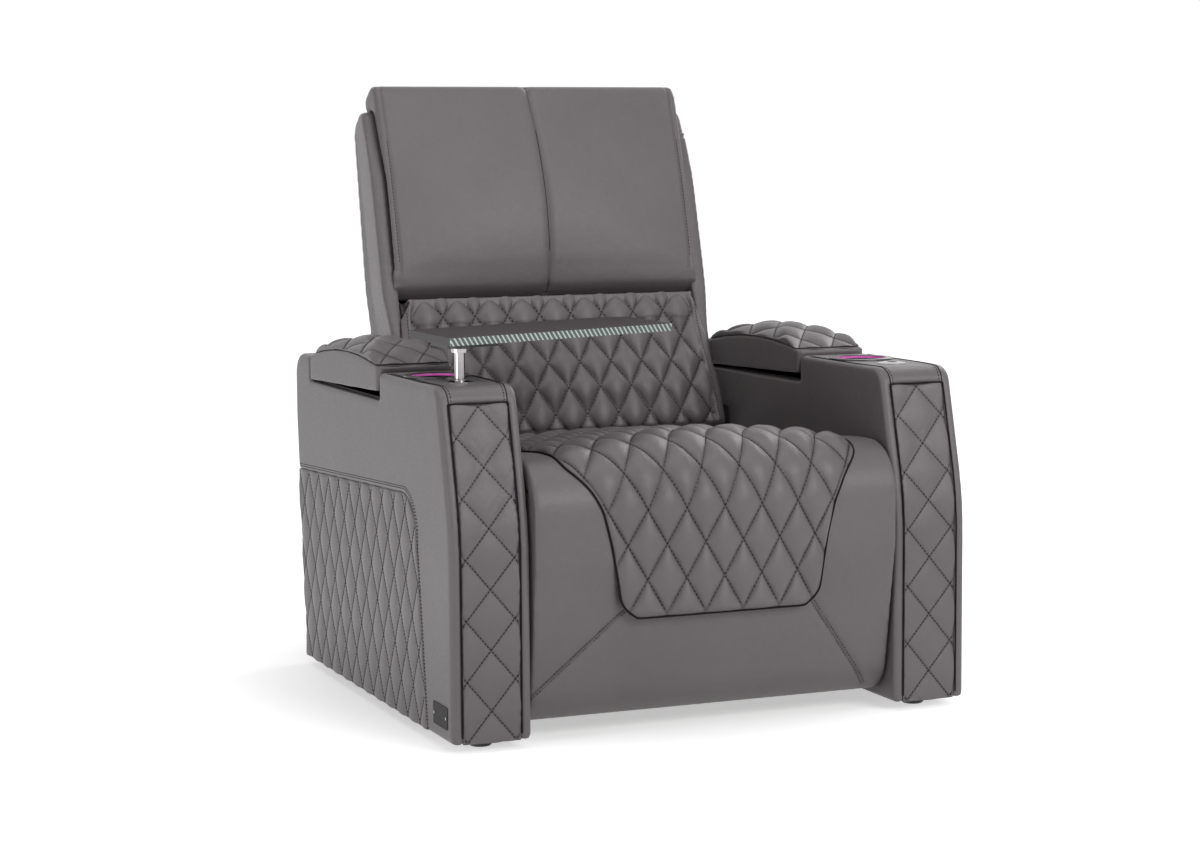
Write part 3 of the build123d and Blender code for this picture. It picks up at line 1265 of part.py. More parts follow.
def back_frame():
    """The back's steel frame: side plates from the pivots to the headrest's ears, tubes and guide pins."""
    pin_y, pin_z, _ = guide_pin_place()
    pivot = (BACK_PIVOT_Y, BACK_PIVOT_Z)
    head = HEAD_PIVOT
    shelf = LUMBAR_FOOT - 10
    behind = 8.0
    plate = outline(
        [
            (pivot[0] - 24, pivot[1] - 24, 22),
            (pivot[0] + 26, pivot[1] - 24, 22),
            (pivot[0] + 94, shelf - 10, 60),
            (lumbar_rear(LUMBAR_TOP) + 48, LUMBAR_TOP + 4, 20),
            (lumbar_rear(LUMBAR_TOP) + 36, head[1] + 22, 16),
            (head[0] - 14, head[1] + 14, 12),
            (head[0] - 14, head[1] - 12, 12),
            (lumbar_rear(LUMBAR_TOP) + behind, LUMBAR_TOP + 13, 8),
            (lumbar_rear(LUMBAR_FOOT) + behind + 4, shelf, 8),
            (pin_y + 24, shelf, 8),
            (pin_y + 12, pin_z + 13, 4),
            (pin_y - 14, pin_z + 13, 12),
            (pin_y - 14, pin_z - 14, 12),
            (pin_y + 10, pin_z - 14, 12),
        ]
    )
    body = across(plate, BRACKET_INNER, BRACKET_OUTER) - rod_x(8 + RUN_FIT, *pivot, 0, WIDTH)
    body = body + rod_x(PIN_RADIUS, pin_y, pin_z, BRACKET_INNER, INNER - FACE_GAP / 2)
    body = body + rod_x(HEAD_STUB_RADIUS, *head, HEAD_REAR_HALF - 14, BRACKET_OUTER)
    body = body + other_side(body)
    lower = cross_tube(pivot[0] + 42, shelf - TUBE_SIDE - 4, BRACKET_INNER)
    upper = cross_tube(lumbar_rear(660) + 16, 640, BRACKET_INNER)
    return body + lower + upper


def headrest_motor():
    """The headrest's gear motor, on the back frame's upper cross tube inside the shell."""
    y = lumbar_rear(660) + 16
    case = block(-26, 26, y, y + TUBE_SIDE, 640 - 46, 640)
    motor = rod_z(17, 0, y + TUBE_SIDE / 2, 640 - 132, 640 - 46)
    return case + motor


def build():
    """Every node's solids, by name."""
    nodes = {}
    shell, leaf = lid()
    plate, pins = nameplate()
    paired = {
        "front_panel": front_panel(),
        "side_panel": side_panel(),
        "bin": bin_liner(),
        "cup": cup(),
        "lid": shell,
        "lid_leaf": leaf,
        "lid_pad": lid_pad(),
        "side_plate": side_plate(),
        "front_crank": front_crank(),
        "long_bar": bar(SHORT_PIN, True),
        "short_bar": bar(LONG_PIN, False),
    }
    for name, solid in paired.items():
        nodes[f"right_{name}"] = [solid]
        nodes[f"left_{name}"] = [other_side(solid)]
    for name, solid in {
        "sockets": socket(),
        "light_rings": light_ring(),
        "lid_hinges": lid_hinge(),
        "footrest_brackets": footrest_bracket(),
    }.items():
        nodes[name] = [solid, other_side(solid)]
    nodes["right_arm"] = [arm(False)]
    nodes["left_arm"] = [other_side(arm(True))]
    nodes["nameplate"] = [plate]
    nodes["nameplate_pins"] = pins
    nodes["control_panel"] = [control_panel()]
    for i, y in enumerate(button_places()):
        nodes[f"button_{i + 1}"] = [button(y)]
    nodes["feet"] = feet()
    nodes["base_frame"] = [base_frame()]
    nodes["guide_plates"] = guide_plates()
    nodes["recline_actuator"] = [recline_actuator()]
    nodes["recline_rod"] = [recline_rod()]
    nodes["seat_frame"] = [seat_frame()]
    nodes["seat_springs"] = seat_springs()
    nodes["glides"] = glides()
    nodes["seat_cushion"] = [seat_cushion()]
    nodes["seat_pad"] = [seat_pad()]
    nodes["footrest_motor"] = [footrest_motor()]
    nodes["drive_shaft"] = [drive_shaft()]
    nodes["footrest_board"] = [footrest_board()]
    nodes["footrest_cushion"] = [footrest_cushion()]
    nodes["footrest_pad"] = [footrest_pad()]
    nodes["back_frame"] = [back_frame()]
    nodes["back_shell"] = [back_shell()]
    nodes["lumbar_cushion"] = [lumbar_cushion()]
    nodes["headrest_cushion"] = [headrest_cushion()]
    nodes["headrest_tube"] = [headrest_tube()]
    nodes["headrest_motor"] = [headrest_motor()]
    nodes["tray_post"] = [tray_post()]
    nodes["tray_bracket"] = [tray_bracket()]
    nodes["tray_board"] = [tray_board()]
    nodes["tray_trim"] = [tray_trim()]
    return nodes


def export(nodes):
    os.makedirs("parts", exist_ok=True)
    for name, shapes in nodes.items():
        solids = [solid for shape in shapes for solid in shape.solids()]
        placed = [Pos(0, -CENTRE, 0) * solid for solid in solids]
        whole = placed[0] if len(placed) == 1 else Compound(children=placed)
        export_step(whole, f"parts/{name}.step")


if __name__ == "__main__":
    export(build())
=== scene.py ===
import math

import bmesh
import bpy
import numpy as np
from mathutils import Matrix, Vector
from mathutils.bvhtree import BVHTree


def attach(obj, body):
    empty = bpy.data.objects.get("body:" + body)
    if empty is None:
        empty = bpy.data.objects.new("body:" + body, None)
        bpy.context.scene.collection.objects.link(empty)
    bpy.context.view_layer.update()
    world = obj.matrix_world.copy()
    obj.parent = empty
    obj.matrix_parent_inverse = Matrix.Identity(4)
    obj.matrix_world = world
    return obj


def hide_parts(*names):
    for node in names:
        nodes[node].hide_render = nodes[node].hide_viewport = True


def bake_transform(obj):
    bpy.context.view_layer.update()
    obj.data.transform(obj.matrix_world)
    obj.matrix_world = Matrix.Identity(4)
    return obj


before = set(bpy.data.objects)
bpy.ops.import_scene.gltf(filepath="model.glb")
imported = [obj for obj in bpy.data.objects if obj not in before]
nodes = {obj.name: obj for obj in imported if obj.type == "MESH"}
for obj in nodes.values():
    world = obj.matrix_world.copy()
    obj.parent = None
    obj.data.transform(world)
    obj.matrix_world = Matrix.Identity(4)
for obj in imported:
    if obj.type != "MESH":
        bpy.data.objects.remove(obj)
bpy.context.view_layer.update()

# The sizes below are millimetres, with y = 0 at the foot of the arm fronts, as in the part's source.
CENTRE = 478.5
WIDTH = 950.0
ARM_MIDDLE = 406.0
ARM_HEIGHT = 595.0
ARM_LENGTH = 889.0
LID_FRONT = 368.0
LID_REAR = 786.0
PANEL_HALF = 51.0
NOSE = (73.0, 385.0)
NOSE_RADIUS = 87.0
NOSE_FRONT = -14.0
SEAT_TOP = 472.0
SEAT_SLOPE = math.tan(math.radians(6.4))
SLOPE_FRONT = 95
SLOPE_EASE = 40


def place(x, y, z):
    """A point in the frame's metres, from millimetres."""
    return Vector((x, y - CENTRE, z)) / 1000


def millimetres(co):
    out = np.array(co, float) * 1000
    out[:, 1] += CENTRE
    return out


def metres(mm):
    out = np.array(mm, float)
    out[:, 1] -= CENTRE
    return out / 1000


def smoothstep(value, low, high):
    t = np.clip((np.asarray(value, float) - low) / (high - low), 0, 1)
    return t * t * (3 - 2 * t)


def seat_fall(y):
    """How far the seat's upper side has dropped at a depth: it slopes back and down behind its nose."""
    back = np.clip(np.asarray(y, float) - SLOPE_FRONT, 0, None)
    return SEAT_SLOPE * (back - SLOPE_EASE * (1 - np.exp(-back / SLOPE_EASE)))


# ---- materials ----
def blank(name):
    """A new material with nothing in it but its shader."""
    mat = bpy.data.materials.new(name)
    mat.use_nodes = True
    tree = mat.node_tree
    tree.nodes.clear()
    out = tree.nodes.new("ShaderNodeOutputMaterial")
    shader = tree.nodes.new("ShaderNodeBsdfPrincipled")
    tree.links.new(shader.outputs[0], out.inputs[0])
    return mat, tree, shader


def add(tree, kind, inputs=None, **settings):
    made = tree.nodes.new(kind)
    for key, value in settings.items():
        setattr(made, key, value)
    for key, value in (inputs or {}).items():
        made.inputs[key].default_value = value
    return made


def ramp(tree, source, stops):
    made = tree.nodes.new("ShaderNodeValToRGB")
    points = made.color_ramp.elements
    while len(points) < len(stops):
        points.new(0.5)
    for point, (where, colour) in zip(points, stops):
        point.position = where
        point.color = (*colour, 1)
    tree.links.new(source, made.inputs["Fac"])
    return made.outputs["Color"]


def grey(value):
    return (value, value, value)


def tinted(colour, share):
    return tuple(min(1.0, c * share) for c in colour)


def blended(tree, factor, first, second):
    made = tree.nodes.new("ShaderNodeMix")
    made.data_type = "RGBA"
    made.blend_type = "MIX"
    for socket, value in ((made.inputs[0], factor), (made.inputs[6], first), (made.inputs[7], second)):
        if isinstance(value, bpy.types.NodeSocket):
            tree.links.new(value, socket)
        else:
            socket.default_value = value if isinstance(value, float) else (*value, 1)
    return made.outputs[2]


def bumped(tree, height, distance, strength, below=None):
    made = add(tree, "ShaderNodeBump", {"Strength": strength, "Distance": distance})
    tree.links.new(height, made.inputs["Height"])
    if below is not None:
        tree.links.new(below, made.inputs["Normal"])
    return made.outputs["Normal"]


def scaled(tree, stretch=(1, 1, 1)):
    coords = add(tree, "ShaderNodeTexCoord")
    mapping = add(tree, "ShaderNodeMapping", {"Scale": stretch})
    tree.links.new(coords.outputs["Object"], mapping.inputs["Vector"])
    return mapping.outputs["Vector"]


def noise(tree, where, scale, detail=3.0, rough=0.5):
    made = add(tree, "ShaderNodeTexNoise", {"Scale": scale, "Detail": detail, "Roughness": rough})
    tree.links.new(where, made.inputs["Vector"])
    return made.outputs["Fac"]


def leather(name, colour):
    """Semi-aniline leather: pebbled grain, soft creases, painted shade along seams and creases, paler
    raised edges.
    """
    mat, tree, shader = blank(name)
    where = scaled(tree)
    cloud = noise(tree, where, 5.0, 4.0, 0.55)
    tone = ramp(tree, cloud, [(0.32, tinted(colour, 0.93)), (0.68, tinted(colour, 1.07))])
    mottle = noise(tree, where, 90.0, 3.0, 0.6)
    flecks = ramp(tree, mottle, [(0.35, tinted(colour, 0.8)), (0.7, tinted(colour, 1.2))])
    tone = blended(tree, 0.12, tone, flecks)
    # painted shade: the seam attribute darkens the hide along seams, creases and grooves, for the shade
    # that falls in them
    seam = add(tree, "ShaderNodeAttribute", attribute_name="seam")
    tone = blended(tree, seam.outputs["Fac"], tone, tinted(colour, 0.2))
    edges = add(tree, "ShaderNodeNewGeometry")
    worn = ramp(tree, edges.outputs["Pointiness"], [(0.52, grey(0)), (0.6, grey(0.5))])
    tone = blended(tree, worn, tone, tinted(colour, 1.25))
    tree.links.new(tone, shader.inputs["Base Color"])
    rough = noise(tree, where, 240.0, 2.0)
    tree.links.new(ramp(tree, rough, [(0.3, grey(0.34)), (0.7, grey(0.46))]), shader.inputs["Roughness"])
    pebble = add(tree, "ShaderNodeTexVoronoi", {"Scale": 620.0}, feature="DISTANCE_TO_EDGE")
    tree.links.new(where, pebble.inputs["Vector"])
    grain = ramp(tree, pebble.outputs["Distance"], [(0.0, grey(0)), (0.22, grey(1))])
    normal = bumped(tree, noise(tree, where, 26.0, 4.0, 0.6), 0.004, 0.22)
    normal = bumped(tree, noise(tree, where, 150.0, 3.0, 0.6), 0.0008, 0.3, normal)
    normal = bumped(tree, grain, 0.00025, 0.35, normal)
    tree.links.new(normal, shader.inputs["Normal"])
    shader.inputs["Specular IOR Level"].default_value = 0.48
    shader.inputs["Sheen Weight"].default_value = 0.05
    return mat


def threaded(name, colour):
    """Twisted sewing thread."""
    mat, tree, shader = blank(name)
    where = scaled(tree)
    strands = noise(tree, where, 1800.0, 2.0)
    tone = ramp(tree, strands, [(0.3, tinted(colour, 0.6)), (0.7, tinted(colour, 1.5))])
    tree.links.new(tone, shader.inputs["Base Color"])
    tree.links.new(bumped(tree, strands, 0.0003, 0.6), shader.inputs["Normal"])
    shader.inputs["Roughness"].default_value = 0.7
    shader.inputs["Specular IOR Level"].default_value = 0.1
    return mat


def surface(name, colour, rough, metal=0.0, spread=0.08, grain=400.0, stretch=(1, 1, 1), relief=0.0001,
            gloss=0.5):
    """A painted, moulded, turned or brushed surface: fine grain, slight wear and uneven gloss."""
    mat, tree, shader = blank(name)
    fine = noise(tree, scaled(tree, stretch), grain, 3.0, 0.6)
    broad = noise(tree, scaled(tree), 14.0, 3.0)
    tone = ramp(tree, broad, [(0.35, tinted(colour, 1 - spread)), (0.7, tinted(colour, 1 + spread))])
    edges = add(tree, "ShaderNodeNewGeometry")
    worn = ramp(tree, edges.outputs["Pointiness"], [(0.53, grey(0)), (0.62, grey(0.6))])
    tone = blended(tree, worn, tone, tinted(colour, 1.45))
    tree.links.new(tone, shader.inputs["Base Color"])
    low = max(0.03, rough * 0.82)
    high = min(1.0, rough * 1.18)
    tree.links.new(ramp(tree, fine, [(0.3, grey(low)), (0.7, grey(high))]), shader.inputs["Roughness"])
    tree.links.new(bumped(tree, fine, relief, 0.5), shader.inputs["Normal"])
    shader.inputs["Metallic"].default_value = metal
    shader.inputs["Specular IOR Level"].default_value = gloss
    return mat


def paint_lit_sides(mat, colour):
    """Gives the upright sides of a board another colour than its top: painted light, set by which way each
    face looks.
    """
    tree = mat.node_tree
    shader = next(n for n in tree.nodes if n.type == "BSDF_PRINCIPLED")
    top = shader.inputs["Base Color"].links[0].from_socket
    coords = add(tree, "ShaderNodeTexCoord")
    parts = add(tree, "ShaderNodeSeparateXYZ")
    level = add(tree, "ShaderNodeMath", operation="ABSOLUTE")
    tree.links.new(coords.outputs["Normal"], parts.inputs[0])
    tree.links.new(parts.outputs["Z"], level.inputs[0])
    upright = ramp(tree, level.outputs[0], [(0.35, grey(1)), (0.6, grey(0))])
    tree.links.new(blended(tree, upright, top, colour), shader.inputs["Base Color"])


def glowing(name, colour, strength):
    """A lit lens, a little uneven."""
    mat, tree, shader = blank(name)
    fine = noise(tree, scaled(tree), 60.0, 2.0)
    tone = ramp(tree, fine, [(0.3, tinted(colour, 0.8)), (0.7, tinted(colour, 1.15))])
    tree.links.new(tone, shader.inputs["Base Color"])
    tree.links.new(tone, shader.inputs["Emission Color"])
    shader.inputs["Emission Strength"].default_value = strength
    shader.inputs["Roughness"].default_value = 0.3
    return mat


def hatched(name):
    """The tray's front edge: a glassy strip with slanted pale lines."""
    mat, tree, shader = blank(name)
    coords = add(tree, "ShaderNodeTexCoord")
    turn = add(tree, "ShaderNodeMapping", {"Rotation": (0, math.radians(38), math.radians(-19.6))})
    tree.links.new(coords.outputs["Object"], turn.inputs["Vector"])
    settings = {"Scale": 38.0, "Distortion": 0.3, "Detail": 1.0}
    wave = add(tree, "ShaderNodeTexWave", settings, bands_direction="X")
    tree.links.new(turn.outputs["Vector"], wave.inputs["Vector"])
    stops = [(0.55, (0.05, 0.085, 0.075)), (0.72, (0.34, 0.42, 0.39)), (0.92, (0.66, 0.72, 0.7))]
    lines = ramp(tree, wave.outputs["Fac"], stops)
    tree.links.new(lines, shader.inputs["Base Color"])
    tree.links.new(bumped(tree, wave.outputs["Fac"], 0.0006, 0.6), shader.inputs["Normal"])
    shader.inputs["Roughness"].default_value = 0.12
    shader.inputs["Coat Weight"].default_value = 0.6
    return mat


HIDE = (0.142, 0.126, 0.13)
hide = leather("leather_hide", HIDE)
# painted shade: a darker copy of the hide, for the back's shell and the footrest welts
hide_shaded = leather("leather_shaded", tinted(HIDE, 0.92))
thread = threaded("thread_dark", (0.012, 0.01, 0.011))
FINISHES = {
    "timber": surface("timber", (0.2, 0.14, 0.09), 0.6, spread=0.2, grain=60.0, stretch=(1, 9, 1),
                      relief=0.0005),
    "steel_black": surface("steel_black", (0.03, 0.03, 0.032), 0.42, 0.3, 0.15),
    "steel_zinc": surface("steel_zinc", (0.56, 0.56, 0.54), 0.32, 1.0, 0.1),
    "chrome": surface("chrome", (0.4, 0.38, 0.39), 0.14, 1.0, 0.2, grain=120.0, stretch=(1, 1, 0.1),
                      relief=0.00004),
    "cup_steel": surface("cup_steel", (0.075, 0.075, 0.08), 0.2, 0.9, 0.12, stretch=(1, 1, 14),
                         relief=0.00004),
    "light": glowing("light_magenta", (0.5, 0.09, 0.36), 0.6),
    "plastic_black": surface("plastic_black", (0.016, 0.016, 0.018), 0.48, 0.0, 0.12),
    "nylon": surface("nylon", (0.66, 0.65, 0.6), 0.5, 0.0, 0.05),
    "tray_top": surface("tray_top", (0.036, 0.029, 0.031), 0.6, 0.0, 0.1, grain=900.0, relief=0.00005,
                        gloss=0.12),
    "tray_edge": hatched("tray_edge"),
    "plate": surface("plate_gunmetal", (0.042, 0.041, 0.042), 0.6, 0.0, 0.1, grain=700.0, gloss=0.15),
}
NODE_FINISH = {
    "timber": ["seat_frame", "footrest_board"],
    "steel_black": ["base_frame", "guide_plates", "left_side_plate", "right_side_plate", "back_frame",
                    "tray_bracket"],
    "steel_zinc": ["left_front_crank", "right_front_crank", "left_long_bar", "right_long_bar",
                   "left_short_bar", "right_short_bar", "footrest_brackets", "drive_shaft",
                   "seat_springs", "recline_rod", "headrest_tube", "lid_hinges", "left_lid_leaf",
                   "right_lid_leaf"],
    "chrome": ["sockets", "tray_post", "nameplate_pins"],
    "cup_steel": ["left_cup", "right_cup"],
    "light": ["light_rings"],
    "plastic_black": ["left_bin", "right_bin", "control_panel", "button_1", "button_2", "button_3",
                      "button_4", "feet", "recline_actuator", "footrest_motor", "headrest_motor"],
    "nylon": ["glides"],
    "tray_top": ["tray_board"],
    "tray_edge": ["tray_trim"],
    "plate": ["nameplate"],
}
# painted light: the tray board's upright sides are painted paler than its top, as if lit more
paint_lit_sides(FINISHES["tray_top"], (0.15, 0.145, 0.147))
for finish, names in NODE_FINISH.items():
    for name in names:
        target = nodes[name]
        if not target.material_slots:
            target.data.materials.append(FINISHES[finish])
        for entry in target.material_slots:
            entry.material = FINISHES[finish]


# ---- making and shaping soft pieces ----
def finished(mesh, name, material):
    """A smooth shaded piece of one material."""
    for polygon in mesh.polygons:
        polygon.use_smooth = True
    made = bpy.data.objects.new(name, mesh)
    bpy.context.scene.collection.objects.link(made)
    mesh.materials.clear()
    mesh.materials.append(material)
    return made


def applied(made):
    """Puts a piece's modifiers into its mesh."""
    bpy.context.view_layer.update()
    seen = made.evaluated_get(bpy.context.evaluated_depsgraph_get())
    mesh = bpy.data.meshes.new_from_object(seen)
    made.modifiers.clear()
    made.data = mesh
    for polygon in mesh.polygons:
        polygon.use_smooth = True


def wrapped(name, parts, voxel, relax, fine=0, material=hide):
    """The leather over CAD solids: one closed skin, softened and evenly meshed."""
    bm = bmesh.new()
    for part in parts:
        bm.from_mesh(nodes[part].data)
    bmesh.ops.remove_doubles(bm, verts=bm.verts, dist=1e-5)
    mesh = bpy.data.meshes.new(name)
    bm.to_mesh(mesh)
    bm.free()
    made = finished(mesh, name, material)
    skin = made.modifiers.new("skin", "REMESH")
    skin.mode = "VOXEL"
    skin.voxel_size = voxel / 1000
    soften = made.modifiers.new("soften", "SMOOTH")
    soften.factor = 0.5
    soften.iterations = relax
    if fine:
        finer = made.modifiers.new("finer", "SUBSURF")
        finer.levels = fine
        finer.render_levels = fine
    applied(made)
    made.data.materials.clear()
    made.data.materials.append(material)
    return made


def points_of(made):
    """A piece's points in millimetres, and its normals."""
    mesh = made.data
    co = np.empty(len(mesh.vertices) * 3)
    mesh.vertices.foreach_get("co", co)
    normal = np.empty(len(mesh.vertices) * 3)
    mesh.vertex_normals.foreach_get("vector", normal)
    return millimetres(co.reshape(-1, 3)), normal.reshape(-1, 3)


def set_points(made, mm):
    made.data.vertices.foreach_set("co", metres(mm).reshape(-1))
    made.data.update()


def paint_seam_shade(made, values):
    """Adds to the painted shade on each point, from 0 to 1, deepest in a seam, which the leather darkens
    by.
    """
    old = made.data.attributes.get("seam")
    if old is None:
        old = made.data.attributes.new("seam", "FLOAT", "POINT")
    now = np.zeros(len(made.data.vertices), np.float32)
    old.data.foreach_get("value", now)
    old.data.foreach_set("value", np.maximum(now, values).astype(np.float32))


CORNER_EASE = 60


class Chart:
    """Flat (u, v) over a leather face: u across on X, v along a line of (y, z) points, out to its left."""

    def __init__(self, line):
        self.line = np.array(line, float)
        step = np.diff(self.line, axis=0)
        self.lengths = np.hypot(step[:, 0], step[:, 1])
        self.starts = np.concatenate([[0], np.cumsum(self.lengths)])
        self.along = step / self.lengths[:, None]
        self.out = np.stack([-self.along[:, 1], self.along[:, 0]], axis=1)
        self.total = self.starts[-1]

    def read(self, mm):
        """The (u, v) of each point, off the nearest stretch of the line, and which way is out there."""
        best = np.full(len(mm), 1e18)
        v = np.zeros(len(mm))
        out = np.zeros((len(mm), 3))
        for i, along in enumerate(self.along):
            reach = (mm[:, 1:] - self.line[i]) @ along
            low = -1e9 if i == 0 else 0
            high = 1e9 if i == len(self.along) - 1 else self.lengths[i]
            held = np.clip(reach, low, high)
            foot = self.line[i] + held[:, None] * along
            away = np.hypot(*(mm[:, 1:] - foot).T)
            nearer = away < best
            best[nearer] = away[nearer]
            v[nearer] = self.starts[i] + held[nearer]
            out[nearer, 1:] = self.out[i]
        return mm[:, 0], v, out

    def ray(self, u, v):
        """A point on the line's face, and which way is out there, eased round the line's corners."""
        i = int(np.clip(np.searchsorted(self.starts, v) - 1, 0, len(self.along) - 1))
        foot = self.line[i] + (v - self.starts[i]) * self.along[i]
        corner = np.interp(v, self.starts, np.arange(len(self.starts)))
        j = int(min(max(round(corner), 1), len(self.along) - 1)) if len(self.along) > 1 else 0
        share = np.clip(0.5 + (v - self.starts[j]) / CORNER_EASE, 0, 1) if len(self.along) > 1 else 1
        out = self.out[j] * share + self.out[max(j - 1, 0)] * (1 - share)
        return np.array([u, *foot]), np.array([0, *(out / np.hypot(*out))])


class SideChart:
    """Flat (y, z) on an upright side face that looks along X."""

    def __init__(self, x, sign):
        self.x = x
        self.sign = sign

    def read(self, mm):
        out = np.zeros((len(mm), 3))
        out[:, 0] = self.sign
        return mm[:, 1], mm[:, 2], out

    def ray(self, u, v):
        return np.array([self.x, u, v]), np.array([self.sign, 0, 0])


def seam_gaps(u, v, size, start):
    """Distance in mm from the nearest sewn line of each leaning family."""
    wide, tall = size
    reach = wide * tall / math.hypot(wide, tall)
    gaps = []
    for sign in (1, -1):
        turn = (u - start[0]) / wide + sign * (v - start[1]) / tall
        gaps.append(np.abs(turn - np.round(turn)) * reach)
    return gaps


def pillow(gap, reach):
    """The rounded rise of a diamond from a sewn line, from 0 to 1."""
    t = np.clip(gap / reach, 0, 1)
    return 1 - (1 - t) ** 2.3


def everywhere(u, v):
    """The region of a panel that is quilted all over."""
    return np.ones(len(u))


def quilt(made, chart, size, start, region, depth, lift, sharp, turned=(0.15, 0.55)):
    """Presses sewn diamonds into the face that the chart covers, within a region from 0 to 1, and paints
    shade along their sewn lines.
    """
    mm, normal = points_of(made)
    u, v, out = chart.read(mm)
    facing = smoothstep((normal * out).sum(axis=1), *turned)
    weight = facing * region(u, v)
    first, second = seam_gaps(u, v, size, start)
    reach = size[0] * size[1] / math.hypot(*size) / 2
    puff = pillow(first, reach * 0.98) * pillow(second, reach * 0.98)
    nearest = np.minimum(first, second)
    pinch = 0.16 * depth * np.exp(-((nearest / sharp) ** 2))
    shift = lift * puff - depth * (1 - puff) - pinch
    set_points(made, mm + normal * (shift * weight)[:, None])
    # painted shade along the sewn lines, where the quilting dips
    paint_seam_shade(made, weight * np.exp(-((nearest / (sharp * 1.1)) ** 2)) * 0.9)


def groove(made, gap, depth, wide, weight, dark):
    """Draws the skin in along a line that lies gap mm away from each point, and paints shade into the
    groove by dark.
    """
    mm, normal = points_of(made)
    dip = np.exp(-((gap / wide) ** 2)) * weight
    set_points(made, mm - normal * (dip * depth)[:, None])
    paint_seam_shade(made, np.exp(-((gap / (wide * 0.5)) ** 2)) * weight * dark)


def tree_of(made):
    bm = bmesh.new()
    bm.from_mesh(made.data)
    tree = BVHTree.FromBMesh(bm)
    bm.free()
    return tree


RAY_SPAN = 1.8
LEAST_FACING = 0.05


def sewn_run(tree, rays, reach=90.0):
    """Points and outward directions on the skin under a row of (foot, out) rays, split where it ends."""
    runs = []
    run = []
    for foot, out in rays:
        start = place(*(foot + out * reach))
        hit, normal, _, _ = tree.ray_cast(start, Vector(-out), reach * RAY_SPAN / 1000)
        if hit is None or normal.dot(Vector(out)) < LEAST_FACING:
            if len(run) > 1:
                runs.append(run)
            run = []
        else:
            run.append((np.array(hit), np.array(normal)))
    if len(run) > 1:
        runs.append(run)
    return runs


def diamond_runs(tree, chart, size, start, region, u_range, v_range, step=3.0):
    """Skin points along every sewn line of a chart's diamonds, where the region has them."""
    wide, tall = size
    runs = []
    spread = (v_range[1] - v_range[0]) * wide / tall
    first = math.floor((u_range[0] - spread - start[0]) / wide) - 1
    last = math.ceil((u_range[1] + spread - start[0]) / wide) + 1
    count = int((v_range[1] - v_range[0]) / step * math.hypot(wide, tall) / tall)
    for sign in (1, -1):
        for i in range(first, last + 1):
            rays = []
            for v in np.linspace(*v_range, count):
                u = start[0] + i * wide + sign * (v - start[1]) * wide / tall
                within = u_range[0] <= u <= u_range[1]
                if within and float(region(np.array([u]), np.array([v]))[0]) > 0.45:
                    rays.append(chart.ray(u, v))
                elif rays:
                    runs += sewn_run(tree, rays)
                    rays = []
            if rays:
                runs += sewn_run(tree, rays)
    return runs


THREAD_SIDES = 5
THREAD_RINGS = ((0, 0.45, 0.9), (0.22, 1, 0.1), (0.78, 1, 0.1), (1, 0.45, 0.9))
PIPING_SIDES = 8


def split(run):
    """A run's points in millimetres, and its normals."""
    return np.array([p for p, _ in run]) * 1000, np.array([n for _, n in run])


def read_along(travel, values, distance):
    return np.array([np.interp(distance, travel, values[:, axis]) for axis in range(3)])


def tube_faces(base, rings, sides):
    """The sides and both ends of a tube whose rings of points start at base."""
    faces = []
    for ring in range(rings - 1):
        for q in range(sides):
            a = base + ring * sides + q
            b = base + ring * sides + (q + 1) % sides
            faces.append((a, b, b + sides, a + sides))
    faces.append(tuple(base + q for q in reversed(range(sides))))
    faces.append(tuple(base + (rings - 1) * sides + q for q in range(sides)))
    return faces


def meshed(name, points, faces, material):
    mesh = bpy.data.meshes.new(name)
    mesh.from_pydata([tuple(p / 1000) for p in points], [], faces)
    return finished(mesh, name, material)


def one_stitch(start, end, up, radius, sink):
    """The points of a short tapered loop of thread, which dips into the leather at both ends."""
    along = end - start
    size = np.linalg.norm(along)
    along /= size
    side = np.cross(along, up)
    side /= np.linalg.norm(side) + 1e-9
    points = []
    for share, fat, deep in THREAD_RINGS:
        middle = start + along * size * share + up * (radius * (0.55 - deep) - sink)
        for q in range(THREAD_SIDES):
            turn = 2 * math.pi * q / THREAD_SIDES
            points.append(middle + radius * fat * (side * math.cos(turn) + up * math.sin(turn)))
    return points


def stitches(name, runs, stitch, gap, radius, sink=0.25, aside=0.0):
    """Sewing thread along runs of skin points: one loop for each stitch."""
    points = []
    faces = []
    pitch = stitch + gap
    for run in runs:
        spots, normals = split(run)
        if aside:
            across = np.cross(np.gradient(spots, axis=0), normals)
            spots = spots + across / (np.linalg.norm(across, axis=1)[:, None] + 1e-9) * aside
        travel = np.concatenate([[0], np.cumsum(np.linalg.norm(np.diff(spots, axis=0), axis=1))])
        for k in range(int(travel[-1] / pitch)):
            start = read_along(travel, spots, k * pitch)
            end = read_along(travel, spots, k * pitch + stitch)
            up = read_along(travel, normals, k * pitch + stitch / 2)
            up /= np.linalg.norm(up) + 1e-9
            if 0.5 <= np.linalg.norm(end - start) <= 3 * stitch:
                faces += tube_faces(len(points), len(THREAD_RINGS), THREAD_SIDES)
                points += one_stitch(start, end, up, radius, sink)
    return meshed(name, points, faces, thread)


def piping(name, runs, radius, lift, material):
    """A continuous rolled seam or welt along runs of skin points."""
    points = []
    faces = []
    for run in runs:
        spots, normals = split(run)
        heading = np.gradient(spots, axis=0)
        heading /= np.linalg.norm(heading, axis=1)[:, None] + 1e-9
        side = np.cross(heading, normals)
        side /= np.linalg.norm(side, axis=1)[:, None] + 1e-9
        faces += tube_faces(len(points), len(spots), PIPING_SIDES)
        for spot, n, s in zip(spots, normals, side):
            for q in range(PIPING_SIDES):
                turn = 2 * math.pi * q / PIPING_SIDES
                points.append(spot + n * lift + radius * (s * math.cos(turn) + n * math.sin(turn)))
    return meshed(name, points, faces, material)


def contour(tree, x, hub, first, last):
    """Skin points round an upright section at one x, met by rays aimed at a hub (y, z)."""
    rays = []
    for turn in np.linspace(math.radians(first), math.radians(last), 150):
        out = np.array([0, math.cos(turn), math.sin(turn)])
        rays.append((np.array([x, *hub]) + out * 350, out))
    return sewn_run(tree, rays, 400.0)


